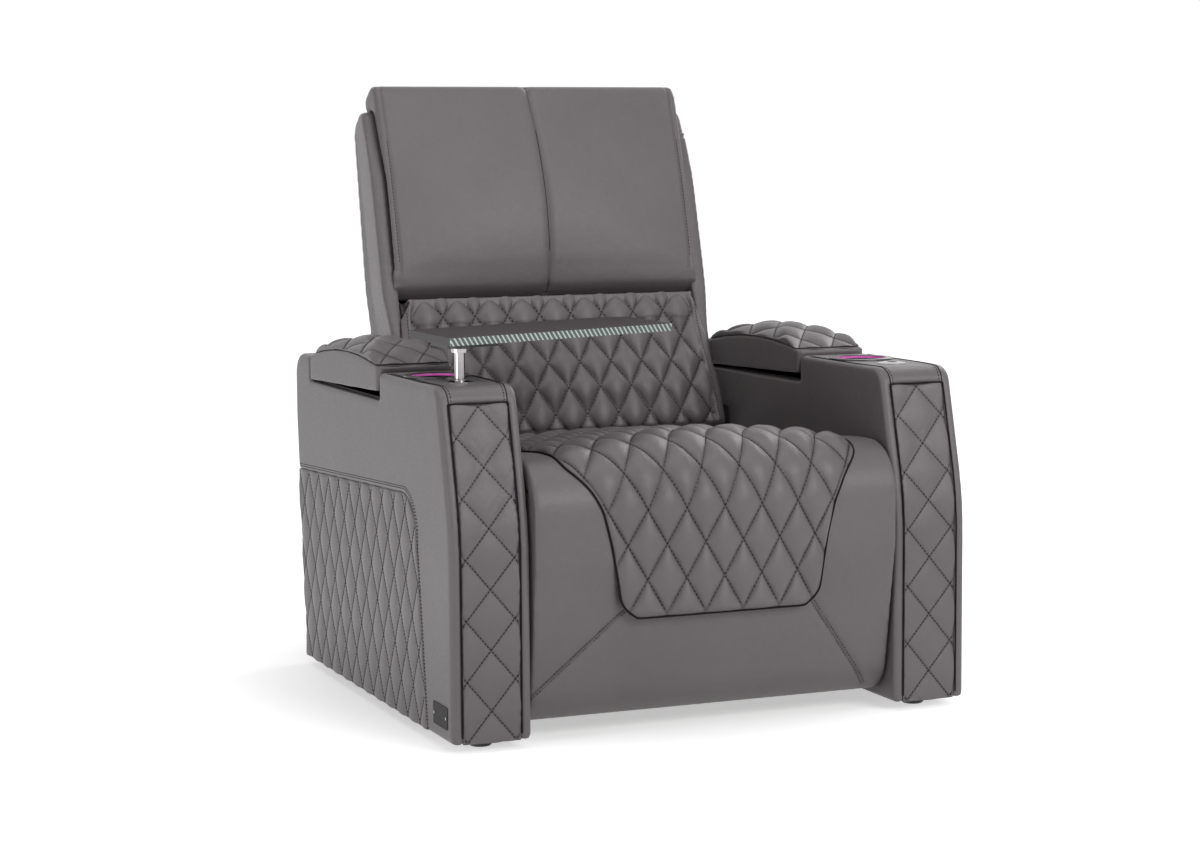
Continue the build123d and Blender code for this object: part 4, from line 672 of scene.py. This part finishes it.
def straight_rays(start, end, out, step=3.0):
    """Rays looking back along out from evenly spaced points on a straight line."""
    a, b, out = (np.array(value, float) for value in (start, end, out))
    count = max(2, int(np.linalg.norm(b - a) / step))
    rays = [(a + (b - a) * t, out) for t in np.linspace(0, 1, count, endpoint=False)]
    return rays + [(b, out)]


def soft(made, body, replaces):
    """Declares a soft piece: attaches it to its body and hides the CAD parts that it replaces. One that
    bends across a joint is given no body.
    """
    if body is not None:
        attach(made, body)
    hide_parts(*replaces)


def trim(made, body):
    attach(made, body)


# ---- arms, with their quilted front and side panels ----
SIDES = (("left", -1), ("right", 1))
ARM_FOOT = 15
ARM_REAR_LEAN = 41
ARM_REAR_LEAN_TOP = 0.75 * ARM_HEIGHT
SHOULDER_HALF = 60.5
SHOULDER_HUB = (330, 300)

front_chart = Chart([(0, 15), (0, 335), (18, 420), (52, 570)])
FRONT_SIZE = (84.0, 100.0)

SIDE_SIZE = (64.0, 118.0)
SIDE_START = (300, 20)
SIDE_FRONT = 131
SIDE_FRONT_SLOPE = 405 * 0.13 / 390
SIDE_TOP = 405
SIDE_TOP_REAR = 373
SIDE_CORNER = 78


def arm_rear(height):
    """Where the arm's rear edge is at a height: it leans in towards its foot."""
    return ARM_LENGTH - ARM_REAR_LEAN * max(0.0, 1 - (height - ARM_FOOT) / ARM_REAR_LEAN_TOP)


def side_outline(inset):
    """The side panel's border, as a run of (y, z) points from its front foot over its rounded corner."""
    front = SIDE_FRONT + inset
    points = [(front + SIDE_FRONT_SLOPE * (z - ARM_FOOT), z) for z in np.linspace(20, 320, 40)]
    centre_y = front + SIDE_FRONT_SLOPE * 305 + SIDE_CORNER
    centre_z = SIDE_TOP - inset - SIDE_CORNER
    for angle in np.radians(np.linspace(176, 98, 18)):
        points.append((centre_y + SIDE_CORNER * math.cos(angle), centre_z + SIDE_CORNER * math.sin(angle)))
    last = points[-1]
    rear = arm_rear(380) - inset
    top = SIDE_TOP_REAR - inset
    for t in np.linspace(0.05, 1, 60):
        points.append((last[0] + (rear - last[0]) * t, last[1] + (top - last[1]) * t))
    return points


def shoulder_line(tree, x, middle):
    """A seam along the arm's upper edge, from its front panel's corner back to the lid."""
    corner = middle + math.copysign(PANEL_HALF, x - middle)
    rays = []
    for turn in np.linspace(137, 88, 150):
        out = np.array([0, math.cos(math.radians(turn)), math.sin(math.radians(turn))])
        across = x + (corner - x) * float(smoothstep(turn, 118, 136))
        rays.append((np.array([across, *SHOULDER_HUB]) + out * 500, out))
    return sewn_run(tree, rays, 450.0)[0]


def panel_border(tree, middle):
    """Runs round the front panel, read off the arm just beside it and drawn in to its edge."""
    beside = 5.0
    runs = []
    top = front_chart.total - 3
    for sign in (-1, 1):
        x = middle + sign * (PANEL_HALF + beside)
        rays = [front_chart.ray(x, v) for v in np.linspace(12, top, 200)]
        inward = np.array([sign * (beside - 0.6), 0, 0]) / 1000
        for run in sewn_run(tree, rays):
            runs.append([(p - inward, n) for p, n in run])
    across = np.linspace(middle - PANEL_HALF, middle + PANEL_HALF, 36)
    rays = [front_chart.ray(u, top + beside) for u in across]
    drop = np.array([0, *front_chart.along[-1]]) * beside / 1000
    for run in sewn_run(tree, rays):
        runs.append([(p - drop, n) for p, n in run])
    return runs


def cover_arm(side, sign):
    """The arm's leather, with a welt and a row of stitches along both of its upper edges."""
    cover = wrapped(f"{side}_arm_cover", [f"{side}_arm"], 4.5, 5)
    soft(cover, "base", [f"{side}_arm"])
    tree = tree_of(cover)
    middle = sign * ARM_MIDDLE
    lines = [shoulder_line(tree, x, middle) for x in (middle - SHOULDER_HALF, middle + SHOULDER_HALF)]
    trim(piping(f"{side}_arm_welt", lines, 0.9, 0.2, thread), "base")
    for index, (run, aside) in enumerate(zip(lines, (5.0, -5.0))):
        trim(stitches(f"{side}_arm_stitches_{index}", [run], 4.6, 1.8, 0.8, 0.2, aside=aside), "base")
    return tree


def quilt_front(side, sign, arm_tree):
    """The quilted panel in the arm's front, and a dark tube round it, which paints the shade of the gap
    between panel and arm.
    """
    middle = sign * ARM_MIDDLE
    start = (middle, front_chart.total - 8)
    panel = wrapped(f"{side}_front_quilt", [f"{side}_front_panel"], 2.6, 4)
    quilt(panel, front_chart, FRONT_SIZE, start, everywhere, 3.0, 0.8, 1.6)
    soft(panel, "base", [f"{side}_front_panel"])
    u_range = (middle - PANEL_HALF + 2, middle + PANEL_HALF - 2)
    v_range = (4, front_chart.total + 10)
    runs = diamond_runs(tree_of(panel), front_chart, FRONT_SIZE, start, everywhere, u_range, v_range)
    trim(stitches(f"{side}_front_stitches", runs, 4.8, 1.8, 0.85), "base")
    # painted shade: a near-black tube laid along the gap round the panel
    trim(piping(f"{side}_front_gap_painted_shade", panel_border(arm_tree, middle), 1.4, 0.5, thread), "base")


def behind_front_edge(u, v):
    """The side panel's quilting starts a little behind its front edge."""
    return smoothstep(u, 136, 150)


def quilt_side(side, sign, arm_tree):
    """The quilted panel on the arm's outer side, and two rows of stitches beside its border."""
    panel = wrapped(f"{side}_side_quilt", [f"{side}_side_panel"], 3.2, 4)
    chart = SideChart(sign * (WIDTH / 2), sign)
    quilt(panel, chart, SIDE_SIZE, SIDE_START, behind_front_edge, 1.9, 0.8, 1.6)
    soft(panel, "base", [f"{side}_side_panel"])
    runs = diamond_runs(tree_of(panel), chart, SIDE_SIZE, SIDE_START, everywhere, (140, 880), (18, 402))
    trim(stitches(f"{side}_side_stitches", runs, 5.2, 1.6, 0.85), "base")
    for index, inset in enumerate((-5, -9)):
        border = [chart.ray(y, z) for y, z in side_outline(inset)]
        trim(stitches(f"{side}_border_stitches_{index}", sewn_run(arm_tree, border), 4.6, 1.6, 0.7), "base")


for side, sign in SIDES:
    arm_tree = cover_arm(side, sign)
    quilt_front(side, sign, arm_tree)
    quilt_side(side, sign, arm_tree)

# ---- lids ----
LID_SIZE = (69.0, 104.0)
LID_LEVEL = 640
LID_HALF = 67
lid_chart = Chart([(LID_FRONT - 20, LID_LEVEL), (LID_REAR + 20, LID_LEVEL)])


def make_lid(side, sign):
    """A storage lid's leather, and the quilted pad on it."""
    body = f"{side}_lid"
    shell = wrapped(f"{side}_lid_cover", [f"{side}_lid"], 3.0, 4)
    soft(shell, body, [f"{side}_lid"])
    pad = wrapped(f"{side}_lid_quilt", [f"{side}_lid_pad"], 3.6, 5, 1)
    middle = sign * ARM_MIDDLE
    start = (middle, 26)
    quilt(pad, lid_chart, LID_SIZE, start, everywhere, 4.5, 1.0, 2.2)
    soft(pad, body, [f"{side}_lid_pad"])
    u_range = (middle - LID_HALF, middle + LID_HALF)
    runs = diamond_runs(tree_of(pad), lid_chart, LID_SIZE, start, everywhere, u_range, (22, 438))
    trim(stitches(f"{side}_lid_stitches", runs, 4.8, 2.2, 0.7), body)


for side, sign in SIDES:
    make_lid(side, sign)

# ---- seat: plain cover over nose and footrest, with the quilted pad on it ----
CORNER_SEAM_NEAR = (172, 216)
CORNER_SEAM_FAR = ((-1, (-333, 76)), (1, (297, 46)))


def seat_cover():
    """The leather over the seat and the footrest, with a seam across each lower corner of its front."""
    seat = wrapped("seat_cover", ["seat_cushion", "footrest_cushion"], 5.0, 6)
    mm, _ = points_of(seat)
    mm[:, 2] -= seat_fall(mm[:, 1]) * smoothstep(mm[:, 2], 394, 440)
    set_points(seat, mm)
    corner_seams = []
    for sign, far in CORNER_SEAM_FAR:
        near = (sign * CORNER_SEAM_NEAR[0], CORNER_SEAM_NEAR[1])
        run = np.array([far[0] - near[0], far[1] - near[1]], float)
        span = np.hypot(*run)
        share = np.clip(((mm[:, 0] - near[0]) * run[0] + (mm[:, 2] - near[1]) * run[1]) / span**2, 0, 1)
        gap = np.hypot(mm[:, 0] - near[0] - share * run[0], mm[:, 2] - near[1] - share * run[1])
        # each corner seam is drawn in, with painted shade in its groove
        groove(seat, gap, 3.2, 6.0, smoothstep(-mm[:, 1], -55, -20), 0.8)
        corner_seams.append(straight_rays((near[0], 0, near[1]), (far[0], 0, far[1]), (0, -1, 0)))
    tree = tree_of(seat)
    for index, rays in enumerate(corner_seams):
        runs = sewn_run(tree, rays)
        for k, aside in enumerate((-3.2, 3.2)):
            trim(stitches(f"footrest_seam_{index}_{k}", runs, 4.6, 1.8, 0.75, 0.2, aside=aside), "footrest")
        # the welts use the darker copy of the hide, painted shade
        trim(piping(f"footrest_welt_{index}", runs, 1.0, 0.2, hide_shaded), "footrest")
    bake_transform(seat)
    soft(seat, None, ["seat_cushion", "footrest_cushion"])


PAD_SIZE = (69.0, 117.0)
PAD_REAR = 634
PAD_FOOT = 205
PAD_CORNER = 34
PAD_ROLL = 15
ROWS = 300
COLUMNS = 190


def pad_line():
    """The line that the quilted pad follows: back along the seat, over the nose and down the footrest."""
    line = [(y, SEAT_TOP - seat_fall(y)) for y in np.linspace(PAD_REAR, NOSE[0], 80, endpoint=False)]
    line += [(NOSE[0] + NOSE_RADIUS * math.cos(a), NOSE[1] + NOSE_RADIUS * math.sin(a))
             for a in np.radians(np.linspace(90, 180, 60, endpoint=False))]
    line += [(NOSE_FRONT, z) for z in np.linspace(NOSE[1], PAD_FOOT, 60)]
    return np.array(line)


def pad_half(z, from_end):
    """Half the pad's width at a height on its front, rounded at its lower corners."""
    heights = [472, 456, 440, 420, 385, 325, 260, 205]
    halves = [274, 268, 250, 232, 213, 198, 187, 180]
    half = np.interp(-z, [-height for height in heights], halves)
    corner = np.clip(PAD_CORNER - from_end, 0, PAD_CORNER)
    return half - PAD_CORNER + np.sqrt(PAD_CORNER**2 - corner**2)


def rolled(gap):
    """How far a pad's edge has rolled up to its full height, from 0 to 1, at a distance in from it."""
    return np.sqrt(np.clip(1 - (1 - np.clip(gap / PAD_ROLL, 0, 1)) ** 2, 0, 1))


class Pad:
    """The quilted pad as a grid: rows along the line that it follows, columns across the seat."""

    def __init__(self):
        line = pad_line()
        travel = np.concatenate([[0], np.cumsum(np.hypot(*np.diff(line, axis=0).T))])
        self.length = travel[-1]
        self.rows = np.linspace(0, self.length, ROWS)
        self.spine = np.stack([np.interp(self.rows, travel, line[:, axis]) for axis in (0, 1)], axis=1)
        self.heading = np.gradient(self.spine, axis=0)
        self.heading /= np.hypot(*self.heading.T)[:, None]
        self.outward = np.stack([self.heading[:, 1], -self.heading[:, 0]], axis=1)
        self.outward *= np.sign(self.outward[:, 1] - self.outward[:, 0])[:, None]
        self.from_end = self.length - self.rows
        half = pad_half(self.spine[:, 1], self.from_end)
        kernel = np.exp(-(np.arange(-9, 10) / 4.0) ** 2)
        self.half = np.convolve(np.pad(half, 9, "edge"), kernel / kernel.sum(), "valid")
        across = np.linspace(-1, 1, COLUMNS)
        self.share = np.sin(across * math.pi / 2) * 0.35 + across * 0.65
        self.start = (PAD_SIZE[0] / 2, self.length - 5)
        self.shape()

    def lifted(self, u, r, height):
        """Points at a height over the line that the pad follows."""
        y = self.spine[r, 0] + self.outward[r, 0] * height
        z = self.spine[r, 1] + self.outward[r, 1] * height
        return np.stack([u, y, z], axis=-1)

    def shape(self):
        """Crowns and quilts the upper side, and lays the lower side just over the leather."""
        s, r = np.meshgrid(self.share, np.arange(ROWS))
        u = s * self.half[r]
        v = self.rows[r]
        rise = np.interp(v, [0, 540, 640, 720, self.length], [32, 32, 25, 19.5, 18])
        low = np.interp(v, [0, 540, 700, self.length], [11, 11, 9, 8])
        height = low + (rise - low) * (1 - s**2)
        roll = rolled(self.half[r] - np.abs(u)) * rolled(np.minimum(self.from_end[r], v + 8))
        first, second = seam_gaps(u, v, PAD_SIZE, self.start)
        reach = PAD_SIZE[0] * PAD_SIZE[1] / math.hypot(*PAD_SIZE) / 2
        puff = pillow(first, reach) * pillow(second, reach)
        nearest = np.minimum(first, second)
        quilting = 2.2 * puff - 6.5 * (1 - puff) - 1.0 * np.exp(-((nearest / 2.4) ** 2))
        height = np.maximum((height + quilting) * roll, 0.6 * roll + 0.4)
        self.top = self.lifted(u, r, height)
        self.under = self.lifted(u, r, 0.3)
        # painted shade along the pad's sewn lines, kept off its rolled edge
        self.dark = np.exp(-((nearest / 2.6) ** 2)) * 0.9 * smoothstep(roll, 0.3, 0.8)

    def skin_point(self, x, i):
        """The upper side's point at x, on a row number that may lie between two rows."""
        row = int(i)
        hit = []
        for q in (row, min(row + 1, ROWS - 1)):
            column = np.interp(x / self.half[q], self.share, np.arange(COLUMNS))
            c = int(column)
            after = self.top[q, min(c + 1, COLUMNS - 1)]
            hit.append(self.top[q, c] * (1 - column + c) + after * (column - c))
        return hit[0] * (1 - i + row) + hit[1] * (i - row)

    def sewn_line(self, sign, k):
        """Runs along one sewn line, read straight off the grid, where it lies inside the pad's edge."""
        wide, tall = PAD_SIZE
        runs = []
        run = []
        for distance in np.arange(6, self.length - 6, 3.0):
            x = self.start[0] + k * wide + sign * (distance - self.start[1]) * wide / tall
            i = distance / self.length * (ROWS - 1)
            if abs(x) < self.half[int(i)] - 6:
                spot = self.skin_point(x, i)
                run.append((metres(spot[None])[0], np.array([0, *self.outward[int(i)]])))
            elif run:
                runs.append(run)
                run = []
        runs.append(run)
        return [run for run in runs if len(run) > 2]

    def border(self):
        """One run down the pad's left edge, across its foot and up its right edge."""
        run = []
        for sign, order in ((-1, range(24, ROWS)), (1, range(ROWS - 1, 23, -1))):
            for i in order:
                spot = [sign * (self.half[i] + 0.6), *(self.spine[i] + self.outward[i] * 1.0)]
                run.append((metres(np.array([spot]))[0], np.array([0, *self.outward[i]])))
            if sign < 0:
                foot = self.spine[-1] + self.outward[-1] * 1.0 + self.heading[-1] * 0.8
                for x in np.linspace(-self.half[-1], self.half[-1], 60)[1:-1]:
                    run.append((metres(np.array([[x, *foot]]))[0], np.array([0, *self.outward[-1]])))
        return run


def pad_faces():
    """Faces over the upper grid and the lower one, and round the border that joins them."""
    count = ROWS * COLUMNS
    faces = []
    for i in range(ROWS - 1):
        for j in range(COLUMNS - 1):
            a = i * COLUMNS + j
            faces.append((a, a + 1, a + COLUMNS + 1, a + COLUMNS))
            faces.append((count + a, count + a + COLUMNS, count + a + COLUMNS + 1, count + a + 1))
    border = list(range(COLUMNS))
    border += [i * COLUMNS + COLUMNS - 1 for i in range(1, ROWS)]
    border += [(ROWS - 1) * COLUMNS + j for j in range(COLUMNS - 2, -1, -1)]
    border += [i * COLUMNS for i in range(ROWS - 2, 0, -1)]
    for a, b in zip(border, border[1:] + border[:1]):
        faces.append((b, a, count + a, count + b))
    return faces


def seat_quilt():
    """The quilted pad with its stitches and its dark edging, shaped over the seat's nose and down the
    footrest.
    """
    pad = Pad()
    points = np.concatenate([pad.top.reshape(-1, 3), pad.under.reshape(-1, 3)])
    mesh = bpy.data.meshes.new("seat_quilt")
    mesh.from_pydata([tuple(p) for p in metres(points)], [], pad_faces())
    bm = bmesh.new()
    bm.from_mesh(mesh)
    bmesh.ops.recalc_face_normals(bm, faces=bm.faces)
    bm.to_mesh(mesh)
    bm.free()
    quilted = finished(mesh, "seat_quilt", hide)
    # painted shade along the pad's sewn lines, on its upper side
    paint_seam_shade(quilted, np.concatenate([pad.dark.reshape(-1), np.zeros(ROWS * COLUMNS)]))
    runs = [run for sign in (1, -1) for k in range(-24, 25) for run in pad.sewn_line(sign, k)]
    sewing = stitches("seat_quilt_stitches", runs, 5.0, 2.4, 0.85)
    edging = piping("seat_quilt_edging", [pad.border()], 1.8, 0.3, thread)
    for piece in (quilted, sewing, edging):
        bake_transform(piece)
    soft(quilted, None, ["seat_pad", "footrest_pad"])


seat_cover()
seat_quilt()

# ---- back: shell, lumbar cushion and headrest ----
LUMBAR_SIZE = (65.0, 104.0)
LUMBAR_START = (LUMBAR_SIZE[0] / 2, 226)
lumbar_chart = Chart([(637, 462), (740, 646), (749, 696), (757, 706), (790, 700)])
HEAD_HALF = 314
HEAD_LOW = 700
HEAD_TALL = 385
HEAD_LEAN = math.radians(16.2)
HEAD_HUB = (860, 880)


def back_cover():
    """The leather over the back's shell, which is a little wider above the arms."""
    # the shell uses the darker copy of the hide, painted shade
    back = wrapped("back_cover", ["back_shell"], 5.0, 6, 0, hide_shaded)
    mm, _ = points_of(back)
    above_arms = smoothstep(mm[:, 2], 610, 720)
    mm[:, 0] += 9.0 * np.sign(mm[:, 0]) * smoothstep(np.abs(mm[:, 0]), 305, 325) * above_arms
    set_points(back, mm)
    soft(back, "backrest", ["back_shell"])


def lumbar_region(u, v):
    """The quilted part of the lumbar cushion, which narrows towards its top."""
    limit = np.interp(v, [0, 262], [300, 290])
    return 1 - smoothstep(np.abs(u), limit - 4, limit + 4)


def stretch_lumbar(lumbar):
    """Draws the cushion's foot down to the sloping seat and its crest up to the headrest."""
    mm, _ = points_of(lumbar)
    mm[:, 2] -= 24 * (1 - smoothstep(mm[:, 2], 462, 540))
    crest = 1 - smoothstep(mm[:, 1] - 11 * (mm[:, 0] / 309) ** 2, 757, 776)
    crest *= 1 - smoothstep(np.abs(mm[:, 0]), 290, 309)
    mm[:, 2] += 30 * smoothstep(mm[:, 2], 596, 674) * crest
    mm[:, 1] -= 5 * smoothstep(mm[:, 2], 640, 690) * crest
    set_points(lumbar, mm)


def lumbar_quilt():
    """The quilted lower back, with its stitches and a row of them up each side."""
    lumbar = wrapped("lumbar_quilt", ["lumbar_cushion"], 4.6, 6, 1)
    stretch_lumbar(lumbar)
    quilt(lumbar, lumbar_chart, LUMBAR_SIZE, LUMBAR_START, lumbar_region, 7.5, 2.5, 2.6, (-0.2, 0.3))
    soft(lumbar, "backrest", ["lumbar_cushion"])
    tree = tree_of(lumbar)
    runs = diamond_runs(tree, lumbar_chart, LUMBAR_SIZE, LUMBAR_START, lumbar_region, (-298, 298), (0, 292))
    trim(stitches("lumbar_stitches", runs, 5.0, 2.4, 0.85), "backrest")
    runs = []
    for sign in (-1, 1):
        rays = []
        for v in np.linspace(2, 262, 90):
            rays.append(lumbar_chart.ray(sign * np.interp(v, [0, 262], [306, 296]), v))
        runs += sewn_run(tree, rays)
    trim(stitches("lumbar_edge_stitches", runs, 4.6, 1.8, 0.8), "backrest")


def crown_headrest(headrest):
    """Swells the headrest's front, tucks its foot in and widens that foot to the headrest's full width."""
    mm, _ = points_of(headrest)
    share_up = np.clip((mm[:, 2] - HEAD_LOW) / HEAD_TALL, 0, 1)
    at_front = 1 - smoothstep(mm[:, 1] - 766 - math.tan(HEAD_LEAN) * (mm[:, 2] - 705), 10, 80)
    crown = 8 + 17 * np.clip(1 - (mm[:, 0] / HEAD_HALF) ** 2, 0, 1) ** 0.8
    tuck = 12 * np.clip(1 - share_up / 0.2, 0, 1) ** 2
    from_middle = np.abs(mm[:, 0])
    widen = 19 * smoothstep(from_middle, 278, 292) * (1 - smoothstep(mm[:, 2], 738, 752))
    widen *= 1 - smoothstep(mm[:, 1], 778, 792)
    mm[:, 0] = np.sign(mm[:, 0]) * np.minimum(from_middle + widen, np.maximum(from_middle, 312.5))
    mm[:, 1] += (tuck - crown * np.sin(share_up ** 0.9 * math.pi)) * at_front
    set_points(headrest, mm)


def headrest_cover():
    """The plain upper back, with a seam down its middle and one beside each edge."""
    headrest = wrapped("headrest_cover", ["headrest_cushion"], 5.0, 7, 1)
    crown_headrest(headrest)
    mm, normal = points_of(headrest)
    front_facing = smoothstep(-normal[:, 1] * math.cos(HEAD_LEAN) + normal[:, 2] * 0.3, 0.1, 0.6)
    curve = 3.0 * np.sin((mm[:, 2] - 715) / 380 * math.pi)
    middle_gap = np.abs(mm[:, 0] - curve)
    groove(headrest, middle_gap, 3.6, 9.0, front_facing, 0.0)
    # the middle seam and the two edge seams get painted shade in their grooves
    groove(headrest, middle_gap, 1.8, 3.2, front_facing, 0.85)
    for sign in (-1, 1):
        groove(headrest, np.abs(mm[:, 0] - sign * 299), 1.5, 3.0, front_facing, 0.6)
    soft(headrest, "headrest", ["headrest_cushion"])
    tree = tree_of(headrest)
    runs = contour(tree, -301, HEAD_HUB, 232, 100) + contour(tree, 301, HEAD_HUB, 232, 100)
    trim(stitches("headrest_edge_stitches", runs, 4.8, 1.8, 0.8), "headrest")
    runs = contour(tree, 1.5, HEAD_HUB, 226, 100)
    trim(piping("headrest_seam", runs, 0.8, -0.3, thread), "headrest")


back_cover()
lumbar_quilt()
headrest_cover()

# ---- floor, world, lamps and camera, with their places in metres ----
FLOOR_HALF = 14.0
FLOOR_CELLS = 28
FLOOR_DROP = 0.0004
FLOOR_LIFT = 0.5  # how bright the floor itself shows close to the seat, where the shadow lies; its glow is dimmer there than further out, which paints shade round the seat
LAMPS = [
    ("side", (-4.0, -1.0, 0.62), (0, 0, 0.4), (2.2, 1.0), 29),
    ("front", (1.3, -4.2, 2.4), (0, 0, 0.5), (2.4, 1.8), 85),
    ("top", (-0.3, -0.8, 3.3), (0, 0, 0.5), (2.2, 1.8), 21),
    ("rim", (3.0, 1.6, 2.6), (0, 0, 0.7), (1.6, 1.6), 26),
]
CAMERA_PLACE = (-1.835, -4.3957, 0.9806)
CAMERA_LENS = 78.156
YAW = math.radians(22.49)
PITCH = math.radians(6.1)
ROLL = math.radians(-0.38)


def seen_rays(tree):
    """1 for what the camera sees straight, reflected or through glass, and 0 for light on the seat."""
    path = tree.nodes.new("ShaderNodeLightPath")
    first = add(tree, "ShaderNodeMath", operation="MAXIMUM")
    second = add(tree, "ShaderNodeMath", operation="MAXIMUM")
    tree.links.new(path.outputs["Is Camera Ray"], first.inputs[0])
    tree.links.new(path.outputs["Is Glossy Ray"], first.inputs[1])
    tree.links.new(first.outputs[0], second.inputs[0])
    tree.links.new(path.outputs["Is Transmission Ray"], second.inputs[1])
    return second.outputs[0]


def mixed(tree, factor, first, second):
    pick = tree.nodes.new("ShaderNodeMixShader")
    tree.links.new(factor, pick.inputs[0])
    tree.links.new(first.outputs[0], pick.inputs[1])
    tree.links.new(second.outputs[0], pick.inputs[2])
    return pick


def floor_material():
    """Matte white that holds the seat's shadow, with painted shade round the seat: its glow is dimmer close
    to the seat and rises to plain white away from it.
    """
    mat = bpy.data.materials.new("floor_white")
    mat.use_nodes = True
    tree = mat.node_tree
    tree.nodes.clear()
    out = tree.nodes.new("ShaderNodeOutputMaterial")
    matte = add(tree, "ShaderNodeBsdfDiffuse", {"Color": (0.86, 0.86, 0.86, 1)})
    glow = add(tree, "ShaderNodeEmission", {"Color": (1, 1, 1, 1)})
    coords = add(tree, "ShaderNodeTexCoord")
    away = add(tree, "ShaderNodeVectorMath", operation="LENGTH")
    # painted shade: the glow is dimmed within about a metre of the seat
    fade = {"From Min": 0.5, "From Max": 1.05, "To Min": FLOOR_LIFT, "To Max": 1.0}
    lift = add(tree, "ShaderNodeMapRange", fade)
    tree.links.new(coords.outputs["Object"], away.inputs[0])
    tree.links.new(away.outputs["Value"], lift.inputs["Value"])
    tree.links.new(lift.outputs["Result"], glow.inputs["Strength"])
    none = add(tree, "ShaderNodeEmission", {"Color": (0, 0, 0, 1), "Strength": 0.0})
    pick = mixed(tree, seen_rays(tree), none, glow)
    both = tree.nodes.new("ShaderNodeAddShader")
    tree.links.new(matte.outputs[0], both.inputs[0])
    tree.links.new(pick.outputs[0], both.inputs[1])
    tree.links.new(both.outputs[0], out.inputs[0])
    return mat


def plain_floor():
    side = FLOOR_CELLS + 1
    grid = np.linspace(-FLOOR_HALF, FLOOR_HALF, side)
    points = [(x, y, -FLOOR_DROP) for y in grid for x in grid]
    corners = [row * side + column for row in range(FLOOR_CELLS) for column in range(FLOOR_CELLS)]
    faces = [(a, a + 1, a + side + 1, a + side) for a in corners]
    mesh = bpy.data.meshes.new("floor")
    mesh.from_pydata(points, [], faces)
    mesh.materials.append(floor_material())
    made = bpy.data.objects.new("floor", mesh)
    bpy.context.scene.collection.objects.link(made)


def studio_world():
    """Soft light from all round on the seat, and plain white where the camera sees past it."""
    world = bpy.data.worlds.new("studio")
    bpy.context.scene.world = world
    world.use_nodes = True
    tree = world.node_tree
    tree.nodes.clear()
    out = tree.nodes.new("ShaderNodeOutputWorld")
    ambient = add(tree, "ShaderNodeBackground", {"Color": (1, 1, 1, 1), "Strength": 0.22})
    white = add(tree, "ShaderNodeBackground", {"Color": (1, 1, 1, 1), "Strength": 1.0})
    tree.links.new(mixed(tree, seen_rays(tree), ambient, white).outputs[0], out.inputs[0])


def softbox(name, where, aim, size, power):
    lamp = bpy.data.lights.new(name, "AREA")
    lamp.shape = "RECTANGLE"
    lamp.size, lamp.size_y = size
    lamp.energy = power
    made = bpy.data.objects.new(name, lamp)
    bpy.context.scene.collection.objects.link(made)
    made.location = where
    made.rotation_euler = (Vector(aim) - Vector(where)).to_track_quat("-Z", "Y").to_euler()


def set_camera():
    """The camera at the photograph's viewing angle."""
    camera = bpy.data.cameras.new("camera")
    camera.lens = CAMERA_LENS
    camera.sensor_width = 36.0
    eye = bpy.data.objects.new("camera", camera)
    bpy.context.scene.collection.objects.link(eye)
    level = math.cos(PITCH)
    forward = Vector((math.sin(YAW) * level, math.cos(YAW) * level, -math.sin(PITCH)))
    right = Vector((math.cos(YAW), -math.sin(YAW), 0))
    up = right.cross(forward)
    right_rolled = right * math.cos(ROLL) + up * math.sin(ROLL)
    up_rolled = up * math.cos(ROLL) - right * math.sin(ROLL)
    turn = Matrix((right_rolled, up_rolled, -forward)).transposed().to_4x4()
    eye.matrix_world = Matrix.Translation(CAMERA_PLACE) @ turn
    bpy.context.scene.camera = eye


plain_floor()
studio_world()
for lamp in LAMPS:
    softbox(*lamp)
set_camera()
bpy.context.scene.view_settings.view_transform = "Standard"
